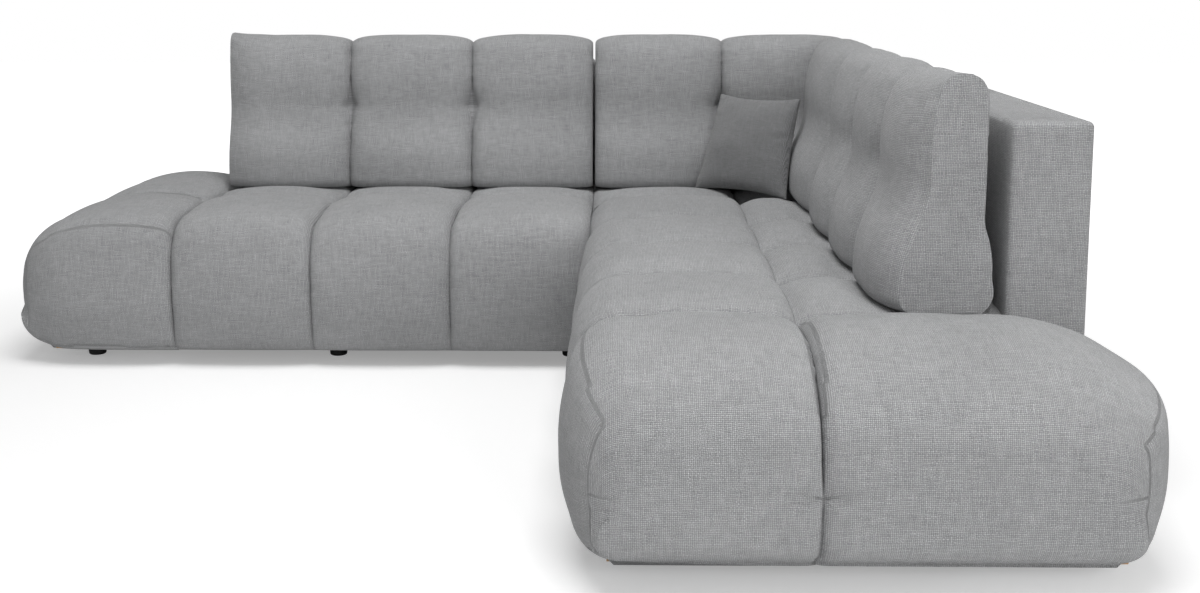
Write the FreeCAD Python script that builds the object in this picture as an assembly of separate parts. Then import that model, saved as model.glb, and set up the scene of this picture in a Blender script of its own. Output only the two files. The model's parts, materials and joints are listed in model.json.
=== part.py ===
import FreeCAD, Part
import math
import os

# Corner sofa of two modules. Millimetres, +Z up.
# Origin: on the floor, below the centre of the whole sofa's outline.
# The left module runs along X. The right module runs along Y and owns the corner.
# Each module has its own run: "along" follows its channels, "depth" goes from
# the front of the seat to the back.

V = FreeCAD.Vector
UP = V(0, 0, 1)

# Seat channels
channel = 390.0            # spacing of the cross seams
end_channel = 445.0        # open end of each module, from its last seam outwards
row_depth = 474.0          # front of the seat to the seam between the two rows
left_channels = 3          # full channels of the left module
right_channels = 4         # full channels of the right module, before its rear row
joint_setback = 29.0       # module joint, behind the front of the right module

# Seat heights and roundings
base_z = 40.0              # underside of the upholstery
bulge_z = 215.0            # height at which the fronts stand out most
crown_z = 448.0            # top of the front row
back_crown_z = 437.0       # top of the back row
corner_crown_z = 417.0     # top of the corner's own pad, below the cushions
seat_z = 422.0             # flat of the back row, where the cushions rest
pad_step = 4.0             # start of the flat, in front of the cushions
seam_drop = 31.0           # cross seam, below the crown
seam_groove = 24.0         # cross seam, behind the front
row_seam_drop = 38.0       # seam between the rows, below the crown
foot_setback = 83.0        # lower edge of the upholstery, behind the front
end_fill = 220.0           # length over which an open end fills, from its seam
end_round = 300.0          # length over which its top rounds off
end_top_keep = 0.3         # share of the height above the bulge left in the end face
end_round_low = 170.0      # length over which it rounds off below
end_low_keep = 0.4
end_round_side = 280.0     # length over which it rounds off sideways
end_side_keep = 0.74

# Back frame boxes
back_inner = 893.0         # front of the seat to the inner face of the back
back_thick = 163.0
back_z = 812.0             # top of the back frame
end_puff = 77.0            # open ends, beyond the outer face of the back
cover_wall = 18.0          # foam sheet and fabric of a back cover
cover_edge = 12.0          # rounding of its edges
lining = 4.0               # fibreboard under the cover
post_width = 45.0
back_rail = 40.0           # height of the rails in the back

# Seat base
core_inset = 92.0          # thickness of the pads at the front and the ends
core_z = 330.0             # top of the foam core
board = 22.0               # thickness of the base boards
rail_z = 222.0             # top of the base boards
spring_wire = 4.0
spring_pitch = 44.0        # one loop of a spring
spring_swing = 24.0        # half the width of a spring
springs_per_channel = 2
clip_wall = 1.5
felt = 4.0                 # felt between springs and foam
dust = 1.0                 # dust cover
block_height = 45.0        # blocks behind the boards, above the feet
block_margin = 35.0        # block, beyond a foot's centre

# Feet and joining plates. The places are measured from the outermost fabric.
foot_top = 56.0            # diameter
foot_bottom = 48.0         # diameter
foot_edge = 5.0            # rounding of the lower edge
left_foot_end = 175.0      # left module, from its open end
left_foot_front = 190.0
right_foot_end = 204.0     # right module, from its open end
right_foot_front = 144.0
foot_side = 143.0          # both modules, from the outer side behind the back
dust_inset = 6.0           # dust cover, inside the outline of the boards
screw_d = 8.0
screw_head = 16.0          # diameter
screw_head_h = 5.0
foot_bore_depth = 14.0     # recess for the screw head
screw_length = 62.0
plate_width = 40.0
plate_thick = 3.0
plate_screw_d = 5.0
plate_screw_length = 30.0
bolt_d = 8.0
bolt_head = 14.0
bolt_head_h = 5.0
bolt_reach = 35.0          # thread that goes into a back post

# Back cushions
cushion_foot = 682.0       # front of the seat to the cushion's lower front edge
cushion_top = 902.0        # top of a channel
cushion_seam_top = 882.0
cushion_end_top = 906.0    # flat end panel
cushion_puff = 56.0        # channel's front, beyond its seams
cushion_back_puff = 12.0
cushion_waist_z = 680.0    # height of the sewn tufts
cushion_end_gap = 4.0      # cushion's end, from the seam that it lines up with
corner_channel = 404.0     # channels of the corner cushion's rear part
corner_fold = 44.0         # part of the third channel that is folded away
fold_slope = 0.182         # lean of the fold, as the cushion's front leans
fold_gap = 20.0            # fold, from the foremost point of the rear part

# Throw pillow
pillow_width = 322.0       # from corner to corner
pillow_height = 310.0
pillow_taper = 0.075       # its top edge is narrower by this share, its foot wider
pillow_sag = 14.0          # how far an edge pulls in
pillow_thick = 112.0
pillow_edge = 7.0          # thickness left in the knife edge
pillow_turn = 41.0         # degrees, towards the right module
pillow_lean = 19.0         # degrees
pillow_from_side = 16.4    # lower corner, in front of the cushion on the right
pillow_from_rear = 16.0    # other lower corner, in front of the rear cushion
pillow_lift = 7.0          # lowest point, above the flat of the seat

# Fits
gap = 0.3                  # between a soft piece and what it rests on
module_gap = 0.5           # each module's end, from the joint
screw_fit = 0.3            # radial, round screws and bolts

# Derived places
end_centre_z = bulge_z - 25      # height that the open ends round off towards
back_outer = back_inner + back_thick
end_depth = back_outer + end_puff
sofa_width = end_channel + left_channels * channel - joint_setback + end_depth
sofa_length = end_channel + right_channels * channel - row_depth + end_depth
left_seam_x = -sofa_width / 2 + end_channel
joint_x = left_seam_x + left_channels * channel
right_front_x = joint_x - joint_setback
near_seam_y = -sofa_length / 2 + end_channel
row_seam_y = near_seam_y + right_channels * channel
left_front_y = row_seam_y - row_depth
rear_y = left_front_y + back_inner
side_x = right_front_x + back_inner


class Run:
    """One module's own directions: along its channels, depth and height."""

    def __init__(self, origin, along, depth):
        self.origin, self.u, self.v = origin, along, depth

    def at(self, along, depth, z):
        return self.origin + self.u * along + self.v * depth + UP * z

    def box(self, a0, a1, d0, d1, z0, z1):
        p, q = self.at(a0, d0, z0), self.at(a1, d1, z1)
        low = V(min(p.x, q.x), min(p.y, q.y), z0)
        high = V(max(p.x, q.x), max(p.y, q.y), z1)
        size = high - low
        return Part.makeBox(size.x, size.y, size.z, low)


# Both runs start at the last cross seam before the open end, and count
# away from that end, so the open end has negative places.
left = Run(V(left_seam_x, left_front_y, 0), V(1, 0, 0), V(0, 1, 0))
right = Run(V(right_front_x, near_seam_y, 0), V(0, 1, 0), V(1, 0, 0))
left_length = left_channels * channel - module_gap
right_length = rear_y - near_seam_y


def mix(a, b, share):
    """A value, a point or an outline between a and b."""
    if isinstance(a, (list, tuple)):
        return [mix(p, q, share) for p, q in zip(a, b)]
    return a + (b - a) * share


def wire(run, along, outline):
    """Closed wire across a run. A step holds an end point, or an arc's
    middle and end points, as depth and height."""
    points = [step[-1] if isinstance(step[0], (list, tuple)) else step
              for step in outline]
    edges = []
    for before, step, point in zip(points[-1:] + points[:-1], outline, points):
        start, end = run.at(along, *before), run.at(along, *point)
        middle = run.at(along, *step[0]) if isinstance(step[0], (list, tuple)) else start
        if middle.distanceToLine(start, end - start) > 1e-3:
            edges.append(Part.Arc(start, middle, end).toShape())
        elif start.distanceToPoint(end) > 1e-6:
            edges.append(Part.makeLine(start, end))
    return Part.Wire(edges[1:] + edges[:1])


def loft(wires):
    solid = Part.makeLoft(wires, True)
    if solid.Volume < 0:
        solid.reverse()
    return solid


def fullness(share, power=2.6):
    """How far a channel is filled, from 0 at a seam to 1 in its middle."""
    return 1 - abs(2 * share - 1) ** power


SHARES = (0.0, 0.1, 0.28, 0.5, 0.72, 0.9, 1.0)


# Seat pads

def front_top(drop, groove):
    """Outside of the front row from the lower edge to the row seam."""
    top = crown_z - drop
    row_top = crown_z - row_seam_drop - drop * 0.6
    return [
        [foot_setback, base_z],
        [[foot_setback * 0.46 + groove * 0.5, base_z + 18],
         [17 + groove * 0.85, base_z + 65]],
        [[2 + groove, bulge_z - 55], [groove, bulge_z]],
        [[2 + groove, bulge_z + 65], [14 + groove * 0.8, bulge_z + 125 - drop / 2]],
        [[52 + groove * 0.5, top - 33], [150, top - 10]],
        [[300, top], [row_depth, row_top]],
    ]


def back_top(drop, top):
    """Top of the back row from the row seam to the back frame."""
    row_top = crown_z - row_seam_drop - drop * 0.6
    under = seat_z - drop / 2
    flat_from = cushion_foot - cushion_puff - pad_step
    return [
        [row_depth, row_top],
        [[row_depth + 30, top - 4 - drop], [row_depth + 90, top - drop]],
        [[flat_from - 16, mix(top - drop, under, 0.38) + 1], [flat_from, under]],
        [back_inner, under],
    ]


def seat_sections(top_line, floor_line):
    """Outlines of one channel from seam to seam."""
    return [top_line(seam_drop * (1 - fullness(share)),
                     seam_groove * (1 - fullness(share))) + floor_line
            for share in SHARES]


def front_pad(run, start, length):
    inner = [[row_depth, core_z], [core_inset, core_z], [core_inset, base_z]]
    outlines = seat_sections(front_top, inner)
    return loft([wire(run, start + length * share, outline)
                 for share, outline in zip(SHARES, outlines)])


def back_pad(run, start, length, top):
    inner = [[back_inner, core_z], [row_depth, core_z]]
    outlines = seat_sections(lambda drop, groove: back_top(drop, top), inner)
    return loft([wire(run, start + length * share, outline)
                 for share, outline in zip(SHARES, outlines)])


def outer_back(drop, groove):
    """Outline of the open end's back half, from the row seam round the outside."""
    top = crown_z - drop
    far = end_depth
    return [
        [row_depth, crown_z - row_seam_drop - drop * 0.6],
        [[row_depth + 150, top - 1], [row_depth + 330, top - 3]],
        [[far - 183 - groove, top - 14], [far - 118 - groove, top - 34]],
        [[far - 78 - groove, top - 59], [far - 32 - groove, top - 88]],
        [[far - 14 - groove, top - 107], [far - 5 - groove, bulge_z + 90 - drop / 2]],
        [[far - 1 - groove, bulge_z + 45], [far - groove, bulge_z]],
        [[far - 2 - groove, bulge_z - 55], [far - 15 - groove, base_z + 65]],
        [[far - 36 - groove * 0.6, base_z + 18], [far - foot_setback, base_z]],
        [row_depth, base_z],
    ]


END_SHARES = (0.0, 0.07, 0.18, 0.31, 0.44, 0.58, 0.71, 0.83, 0.92, 0.98, 1.0)
PROFILE_SHARES = (0.0, 0.5, 0.8, 0.94, 1.0)


def rounding(along, length, power, least):
    """Share of the outline that is left at a place along an open end."""
    share = max(0.0, along - end_channel + length) / length
    return mix(least, 1, math.sqrt(max(0.0, 1 - share ** power)))


def top_left_over(along):
    return rounding(along, end_round, 2.2, end_top_keep)


def low_left_over(along):
    return rounding(along, end_round_low, 3, end_low_keep)


def side_left_over(along):
    return rounding(along, end_round_side, 2.8, end_side_keep)


def end_hollow(run):
    """Room for the core and the boards in an open end."""
    return run.box(-(end_channel - core_inset), 1, core_inset,
                   end_depth - core_inset, base_z - 1, core_z)


def back_end_pad(run):
    """Back half of an open end: full in its middle, rounded towards the end face."""
    groove_start = end_channel - seam_groove

    def shrink(point, along):
        keep = top_left_over(along) if point[1] > end_centre_z else low_left_over(along)
        part = max(0.0, along - groove_start) ** 2 / seam_groove
        return [row_depth + part + (point[0] - row_depth) * side_left_over(along),
                mix(end_centre_z, point[1], keep)]

    wires = []
    for share in END_SHARES:
        along = end_channel * share
        full = fullness(min(along, end_fill) / end_fill / 2)
        outline = outer_back(seam_drop * (1 - full), seam_groove * (1 - full))
        wires.append(wire(run, -along, [
            [shrink(point, along) for point in step]
            if isinstance(step[0], (list, tuple)) else shrink(step, along)
            for step in outline]))
    beyond = run.box(-2 * end_channel, 1, row_depth - end_depth, row_depth, 0, back_z)
    below = run.box(-2 * end_channel, 1, -end_depth, 2 * end_depth, 0, base_z)
    return loft(wires).cut([beyond, below, end_hollow(run)])


def eased(length, place):
    """Two arcs over the last length of an open end, through place(along)."""
    first = end_channel - length
    points = [place(first + length * share) for share in PROFILE_SHARES]
    return points[0], [points[1:3], points[3:5]]


def front_end_pad(run):
    """Front half of an open end, where its outlines from three sides meet."""
    across = Part.Face(wire(run, 0, front_top(0, 0) + [[row_depth, base_z]]))
    across = across.extrude(run.u * -end_channel)

    def outline_face(first, steps, at):
        points = [step[-1] if isinstance(step[0], (list, tuple)) else step
                  for step in steps]
        edges = []
        for before, step, point in zip([first] + points, steps, points):
            if isinstance(step[0], (list, tuple)):
                edges.append(Part.Arc(at(before), at(step[0]), at(point)).toShape())
            else:
                edges.append(Part.makeLine(at(before), at(point)))
        edges.append(Part.makeLine(at(points[-1]), at(first)))
        return Part.Face(Part.Wire(edges))

    def height(top, left_over):
        return lambda along: [along, mix(end_centre_z, top, left_over(along))]

    # From the front: along and height
    round_start, top_arcs = eased(end_round, height(crown_z, top_left_over))
    low_start, low_arcs = eased(end_round_low, height(base_z, low_left_over))
    seam = [0, crown_z - seam_drop]
    low_back = [[low_arcs[1][0], low_arcs[0][1]], [low_arcs[0][0], low_start]]
    from_front = outline_face(
        seam, [[[end_fill * 0.27, crown_z - seam_drop * 0.25], round_start]] + top_arcs
        + [low_arcs[1][1]] + low_back + [[0, base_z]],
        lambda point: run.at(-point[0], -1, point[1]))
    from_front = from_front.extrude(run.v * (row_depth + 2))

    # From above: along and depth
    side_start, side_arcs = eased(
        end_round_side, lambda along: [along, row_depth * (1 - side_left_over(along))])
    from_above = outline_face(
        [0, seam_groove], [[[end_fill * 0.2, seam_groove * 0.25], side_start]] + side_arcs
        + [[end_channel, row_depth], [0, row_depth]],
        lambda point: run.at(-point[0], point[1], 0))
    from_above = from_above.extrude(UP * back_z)
    return across.common(from_front).common(from_above).cut(end_hollow(run))


# Base of a module

def base_boards(run, length):
    """Long rails, and the cross boards between them."""
    tall = (base_z, rail_z)
    open_end = -(end_channel - core_inset)
    low, high = core_inset, back_inner
    outer = end_depth - core_inset
    long_rails = [run.box(open_end, length, low, low + board, *tall),
                  run.box(open_end, length, high - board, high, *tall)]
    crosses = [run.box(open_end, open_end + board, low + board, high - board, *tall),
               run.box(length - board, length, low + board, high - board, *tall)]
    middle = 0.0
    while middle < length - channel / 2:
        crosses.append(run.box(middle - board / 2, middle + board / 2,
                               low + board, high - board, *tall))
        middle += channel
    returns = [run.box(open_end, open_end + board, high, outer - board, *tall),
               run.box(open_end, 0, outer - board, outer, *tall),
               run.box(-board, 0, high, outer - board, *tall)]
    return long_rails, crosses + returns


def spring_places(length):
    count = int(length // (channel / springs_per_channel))
    step = length / count
    return [step * (number + 0.5) for number in range(count)]


def spring(run, along):
    """Zigzag spring as one flat wire of straight runs and half turns."""
    start, end = core_inset + 5, back_inner - 5
    bend = spring_pitch / 4
    reach = spring_swing - bend
    turns = int((end - start - 2 * spring_pitch) // (spring_pitch / 2))
    lead = (end - start - turns * spring_pitch / 2) / 2
    z = rail_z + spring_wire / 2
    here = run.at(along, start, z)
    section = Part.Face(Part.Wire(Part.makeCircle(spring_wire / 2, here, run.v)))
    skin = [section.copy()]

    def line_to(a, d):
        nonlocal here
        there = run.at(along + a, d, z)
        swept = section.extrude(there - here)
        skin.extend(face for face in swept.Faces if not isinstance(face.Surface, Part.Plane))
        section.translate(there - here)
        here = there

    def arc_to(a, d, via_a, via_d):
        nonlocal here
        there = run.at(along + a, d, z)
        edge = Part.Arc(here, run.at(along + via_a, via_d, z), there).toShape()
        circle = edge.Curve
        turn = math.degrees(edge.Length / circle.Radius)
        swept = section.revolve(circle.Center, circle.Axis, turn)
        skin.extend(face for face in swept.Faces if not isinstance(face.Surface, Part.Plane))
        section.rotate(circle.Center, circle.Axis, turn)
        here = there

    depth = start + lead
    root = bend * math.sqrt(0.5)
    side = 1
    line_to(0, depth - bend)
    arc_to(side * bend, depth, side * (bend - root), depth - bend + root)
    line_to(side * reach, depth)
    for number in range(turns):
        arc_to(side * reach, depth + 2 * bend, side * (reach + bend), depth + bend)
        depth += 2 * bend
        side = -side
        line_to((side if number < turns - 1 else 0) * reach
                - (0 if number < turns - 1 else side * bend), depth)
    arc_to(0, depth + bend, -side * (bend - root), depth + bend - root)
    line_to(0, end)
    shell = Part.makeShell(skin + [section])
    shell.sewShape()
    solid = Part.makeSolid(shell)
    if solid.Volume < 0:
        solid.reverse()
    return solid


def clips(run, along):
    """Steel clips that hold a spring's two ends on the rails."""
    wide = 14.0
    made = []
    hole_r = spring_wire / 2 + 0.05
    z = rail_z + spring_wire / 2
    for low in (core_inset + 3, back_inner - board + 3):
        high = low + board - 6
        clip = run.box(along - wide / 2, along + wide / 2, low, high,
                       rail_z, rail_z + spring_wire + clip_wall)
        bore = Part.makeCylinder(hole_r, high - low + 2, run.at(along, low - 1, z), run.v)
        made.append(clip.cut(bore))
    return made


def soft_layers(run, length):
    """Felt on the springs and the foam core on the felt."""
    open_end = -(end_channel - core_inset)
    felt_z = rail_z + spring_wire + clip_wall + gap
    outer = end_depth - core_inset
    main = run.box(open_end, length, core_inset, back_inner, felt_z, felt_z + felt)
    core = run.box(open_end, length, core_inset, back_inner, felt_z + felt, core_z)
    deck = run.box(open_end, 0, back_inner, outer, rail_z, felt_z + felt)
    extra = run.box(open_end, 0, back_inner, outer, felt_z + felt, core_z)
    return main, core.fuse(extra).removeSplitter(), deck


def foot_places(length, end_inset, front):
    """Feet in the corners, and a pair by the cross board nearest to half way.
    Each has the two board faces that its block stands against."""
    near, far = -(end_channel - end_inset), length - board - block_margin
    middle = round(length / 2 / channel) * channel + board / 2
    inner = back_inner - board
    side = end_depth - foot_side
    faces = (-(end_channel - core_inset - board), length - board, middle)
    low, high = core_inset + board, end_depth - core_inset - board
    return [(near, faces[0], front, low), (near, faces[0], side, high),
            (far, faces[1], front, low), (far, faces[1], inner - block_margin, inner),
            (middle + block_margin, faces[2], front, low),
            (middle + block_margin, faces[2], inner - block_margin, inner)]


def feet(run, places):
    """Feet with recessed screws, and the blocks that the screws go into."""
    made, screws, blocks = [], [], []
    for along, along_face, depth, depth_face in places:
        floor = run.at(along, depth, 0)
        body = Part.makeCone(foot_bottom / 2, foot_top / 2, base_z, floor, UP)
        body = body.makeFillet(foot_edge, [min(body.Edges, key=lambda e: e.BoundBox.ZMax)])
        recess = Part.makeCylinder(screw_head / 2 + 1, foot_bore_depth, floor, UP)
        hole = Part.makeCylinder(screw_d / 2 + screw_fit, base_z, floor, UP)
        made.append(body.cut(recess).cut(hole))
        head = Part.makeCylinder(screw_head / 2, screw_head_h,
                                 floor + UP * (foot_bore_depth - screw_head_h), UP)
        shank = Part.makeCylinder(screw_d / 2, screw_length,
                                  floor + UP * foot_bore_depth, UP)
        screws.append(head.fuse(shank))
        block = run.box(along_face, along + math.copysign(block_margin, along - along_face),
                        depth_face, depth + math.copysign(block_margin, depth - depth_face),
                        base_z, base_z + block_height)
        pilot = Part.makeCylinder(screw_d / 2 + screw_fit, block_height + 2,
                                  floor + UP * (base_z - 1), UP)
        blocks.append(block.cut(pilot))
    return made, screws, blocks


# Back frames

def back_frame(run, a0, a1, bolts_at):
    """Timber, lining and cover of one back box, and the bolts into its posts."""
    low, high = back_inner, back_outer
    inside = (low + cover_wall, high - cover_wall)
    top = back_z - cover_wall
    outer = run.box(a0, a1, low, high, base_z, back_z)
    edges = [edge for edge in outer.Edges
             if edge.BoundBox.ZMax > back_z - 1 or edge.BoundBox.ZLength > 1]
    hollow = run.box(a0 + cover_wall, a1 - cover_wall, *inside, base_z - 1, top)
    cover = outer.makeFillet(cover_edge, edges).cut(hollow)
    ends = (a0 + cover_wall, a1 - cover_wall)
    linings = [run.box(*ends, inside[0], inside[0] + lining, base_z, top),
               run.box(*ends, inside[1] - lining, inside[1], base_z, top)]
    deep = (inside[0] + lining, inside[1] - lining)
    posts = []
    places = [ends[0]] + [place - post_width / 2 for place in bolts_at] \
        + [ends[1] - post_width]
    for place in places:
        posts.append(run.box(place, place + post_width, *deep, base_z, top - back_rail))
    rails = [run.box(*ends, *deep, top - back_rail, top)]
    for place, following in zip(places[:-1], places[1:]):
        for z in (base_z, rail_z - back_rail):
            rails.append(run.box(place + post_width, following, *deep, z, z + back_rail))
    bolts = []
    holes = []
    for place in bolts_at:
        for z in (base_z + 50, rail_z - 50):
            head_at = run.at(place, low - board - bolt_head_h, z)
            head = Part.makeCylinder(bolt_head / 2, bolt_head_h, head_at, run.v)
            length = board + cover_wall + lining + bolt_reach
            shank = Part.makeCylinder(bolt_d / 2, length, run.at(place, low - board, z),
                                      run.v)
            bolts.append(head.fuse(shank))
            holes.append(Part.makeCylinder(bolt_d / 2 + screw_fit, length + 1,
                                           run.at(place, low - board - 0.5, z), run.v))
    return cover, linings, posts, rails, bolts, holes


# Cushions

def cushion_outline(full, panel=False):
    """Cushion's outline across its channels. When full is 0 it is that of a seam,
    or of the flat end panel."""
    foot = cushion_foot
    low = seat_z + gap
    top = cushion_end_top if panel else cushion_seam_top
    seam = [
        [foot + 18, low],
        [[foot + 4, low + 7], [foot, low + 28]],
        [[foot + 8, low + 103], [foot + 30, low + 168]],
        [[foot + 48, cushion_waist_z - 40], [foot + 56, cushion_waist_z + 10]],
        [[foot + 57, cushion_waist_z + 112], [foot + 71, top - 27]],
        [[foot + 87, top - 5], [foot + 117, top]],
        [[foot + 147, top - 9], [foot + 161, top - 34]],
        [[foot + 164, cushion_waist_z + 60], [foot + 163, low + 180]],
        [[foot + 180, low + 122], [foot + 181, low + 68]],
        [[foot + 179, low + 14], [foot + 164, low]],
    ]
    puff, back = cushion_puff, cushion_back_puff
    crown = [
        [foot + 26 - puff, low],
        [[foot + 6 - puff, low + 9], [foot - puff, low + 40]],
        [[foot + 4 - puff, low + 108], [foot + 25 - puff, low + 168]],
        [[foot + 44 - puff, cushion_waist_z - 40], [foot + 52 - puff, cushion_waist_z + 10]],
        [[foot + 58 - puff, cushion_waist_z + 112], [foot + 78 - puff, cushion_top - 44]],
        [[foot + 52, cushion_top - 12], [foot + 108, cushion_top]],
        [[foot + 140 + back, cushion_top - 11], [foot + 160 + back, cushion_top - 42]],
        [[foot + 163 + back, cushion_waist_z + 60], [foot + 162 + back, low + 180]],
        [[foot + 178 + back, low + 122], [foot + 180 + back, low + 68]],
        [[foot + 178 + back, low + 14], [foot + 158 + back, low]],
    ]
    return mix(seam, crown, full)


def cushion(run, start, widths, panel=False):
    """Back cushion with one sewn channel for each width. With panel, it starts
    with the flat end panel."""
    parts = []
    for width in widths:
        parts.append(loft([wire(run, start + width * share,
                                cushion_outline(fullness(share, 3.0),
                                                panel and not parts and share < 0.5))
                           for share in SHARES]))
        start += width
    whole = parts[0]
    for part in parts[1:]:
        whole = whole.fuse(part)
    return whole


def pillow():
    """Throw pillow with knife edges, leaning in the corner."""
    half, reach = pillow_height / 2, pillow_width / 2 - 1
    wires = []
    for share in (-1, -0.93, -0.75, -0.45, 0, 0.45, 0.75, 0.93, 1):
        tall = half - pillow_sag * (1 - share ** 2)
        thick = mix(pillow_edge, pillow_thick, (1 - share ** 2) ** 0.6) / 2
        foot_x, across, top_x = [share * reach * (1 + side * pillow_taper)
                                 for side in (1, 0, -1)]
        low, high = V(foot_x, 0, -tall), V(top_x, 0, tall)
        wires.append(Part.Wire([
            Part.Arc(low, V(across, -thick, 0), high).toShape(),
            Part.Arc(high, V(across, thick, 0), low).toShape()]))
    body = loft(wires)
    body.translate(V(0, 0, half))
    body.rotate(V(0, 0, 0), V(1, 0, 0), -pillow_lean)
    body.rotate(V(0, 0, 0), V(0, 0, 1), -pillow_turn)
    turn = math.radians(pillow_turn)
    foot_half = pillow_width / 2 * (1 + pillow_taper)
    front = cushion_foot - cushion_puff
    body.translate(V(right_front_x + front - pillow_from_side - foot_half * math.cos(turn),
                     left_front_y + front - pillow_from_rear - foot_half * math.sin(turn),
                     seat_z + pillow_lift - body.BoundBox.ZMin))
    return body


def export(name, solids):
    shape = solids[0] if len(solids) == 1 else Part.makeCompound(solids)
    shape.exportStep("parts/" + name + ".step")


def dust_cover(run, length, places):
    """Sheet below the boards, with a hole round each foot."""
    low = base_z - dust
    inset = dust_inset
    open_end = -(end_channel - core_inset) + inset
    sheet = run.box(open_end, length - inset, core_inset + inset, back_inner - inset,
                    low, base_z)
    extra = run.box(open_end, -inset, back_inner - inset,
                    end_depth - core_inset - inset, low, base_z)
    sheet = sheet.fuse(extra).removeSplitter()
    for along, _, depth, _ in places:
        sheet = sheet.cut(Part.makeCylinder(foot_top / 2 + 1, 2 * dust,
                                            run.at(along, depth, low - dust / 2), UP))
    return sheet


def joining_plates():
    """Steel plates under the module joint, their screws and the screw holes."""
    board_x = (joint_x - module_gap - board / 2, right_front_x + core_inset + board / 2)
    edge = 15.0
    top = base_z - dust
    plates, screws, holes = [], [], []
    for share in (0.25, 0.75):
        y = left_front_y + back_inner * share
        plate = Part.makeBox(board_x[1] - board_x[0] + 2 * edge, plate_width, plate_thick,
                             V(board_x[0] - edge, y - plate_width / 2, top - plate_thick))
        for x in board_x:
            under = V(x, y, top - plate_thick)
            hole = Part.makeCylinder(plate_screw_d / 2 + screw_fit / 2,
                                     plate_screw_length + plate_thick, under, UP)
            plate = plate.cut(hole)
            holes.append(hole)
            head = Part.makeCylinder(plate_screw_d, plate_thick, under - UP * plate_thick, UP)
            shank = Part.makeCylinder(plate_screw_d / 2, plate_screw_length, under, UP)
            screws.append(head.fuse(shank))
        plates.append(plate)
    return plates, screws, holes


def cut_all(solids, tools):
    """Each solid with the holes that reach it."""
    made = []
    for solid in solids:
        for tool in tools:
            if solid.BoundBox.intersect(tool.BoundBox):
                solid = solid.cut(tool)
        made.append(solid.Solids[0] if len(solid.Solids) == 1 else solid)
    return made


def even_cushion(run, start):
    """Cushion whose seams line up with three channels of the seat."""
    ends = channel - cushion_end_gap
    return cushion(run, start + cushion_end_gap, [ends, channel, ends], True)


def folded_cushion():
    """Third channel of the corner cushion, against the front of the other two."""
    start = (right_channels - 1) * channel + cushion_end_gap
    face = left_front_y - near_seam_y + cushion_foot - cushion_puff
    part = cushion(right, start, [face - start + cushion_puff + corner_fold])
    high = 2 * cushion_top
    corners = [right.at(face - fold_gap + (z - seat_z) * fold_slope, 0, z)
               for z in (0, high)]
    corners += [right.at(face + end_depth, 0, z) for z in (high, 0)]
    side = Part.Face(Part.makePolygon(corners + corners[:1]))
    return part.cut(side.extrude(right.v * end_depth))


def seat_pads():
    """Upholstered channels of both modules, by node name."""
    joint_room = Part.makeBox(sofa_width, sofa_length, back_z,
                              V(joint_x + module_gap - sofa_width, left_front_y - 2, 0))
    made = {}
    for name, run, full, length, _ in MODULES:
        made[name + "_front_end_pad"] = [front_end_pad(run)]
        made[name + "_back_end_pad"] = [back_end_pad(run)]
        for number in range(full):
            start = number * channel
            wide = min(channel, length - start)
            front = front_pad(run, start, wide)
            if run is right:
                front = front.cut(joint_room)
            made["%s_front_pad_%d" % (name, number + 1)] = [front]
            made["%s_back_pad_%d" % (name, number + 1)] = [
                back_pad(run, start, wide, back_crown_z)]

    # Rear row of the right module: its cross-section is the left module's back row
    start = left_channels * channel + module_gap
    middle = right_front_x + row_depth - left_seam_x
    end = side_x - left_seam_x
    front = back_pad(left, start, middle - start, back_crown_z)
    wall = left.box(start, right_front_x + core_inset - left_seam_x,
                    row_depth, back_inner, base_z, core_z)
    made["right_corner_front_pad"] = [front.fuse(wall).removeSplitter()]
    made["right_corner_back_pad"] = [back_pad(left, middle, end - middle, corner_crown_z)]
    return made


MODULES = (
    ("left", left, left_channels, left_length, (left_foot_end, left_foot_front)),
    ("right", right, right_channels, right_length, (right_foot_end, right_foot_front)),
)


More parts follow.
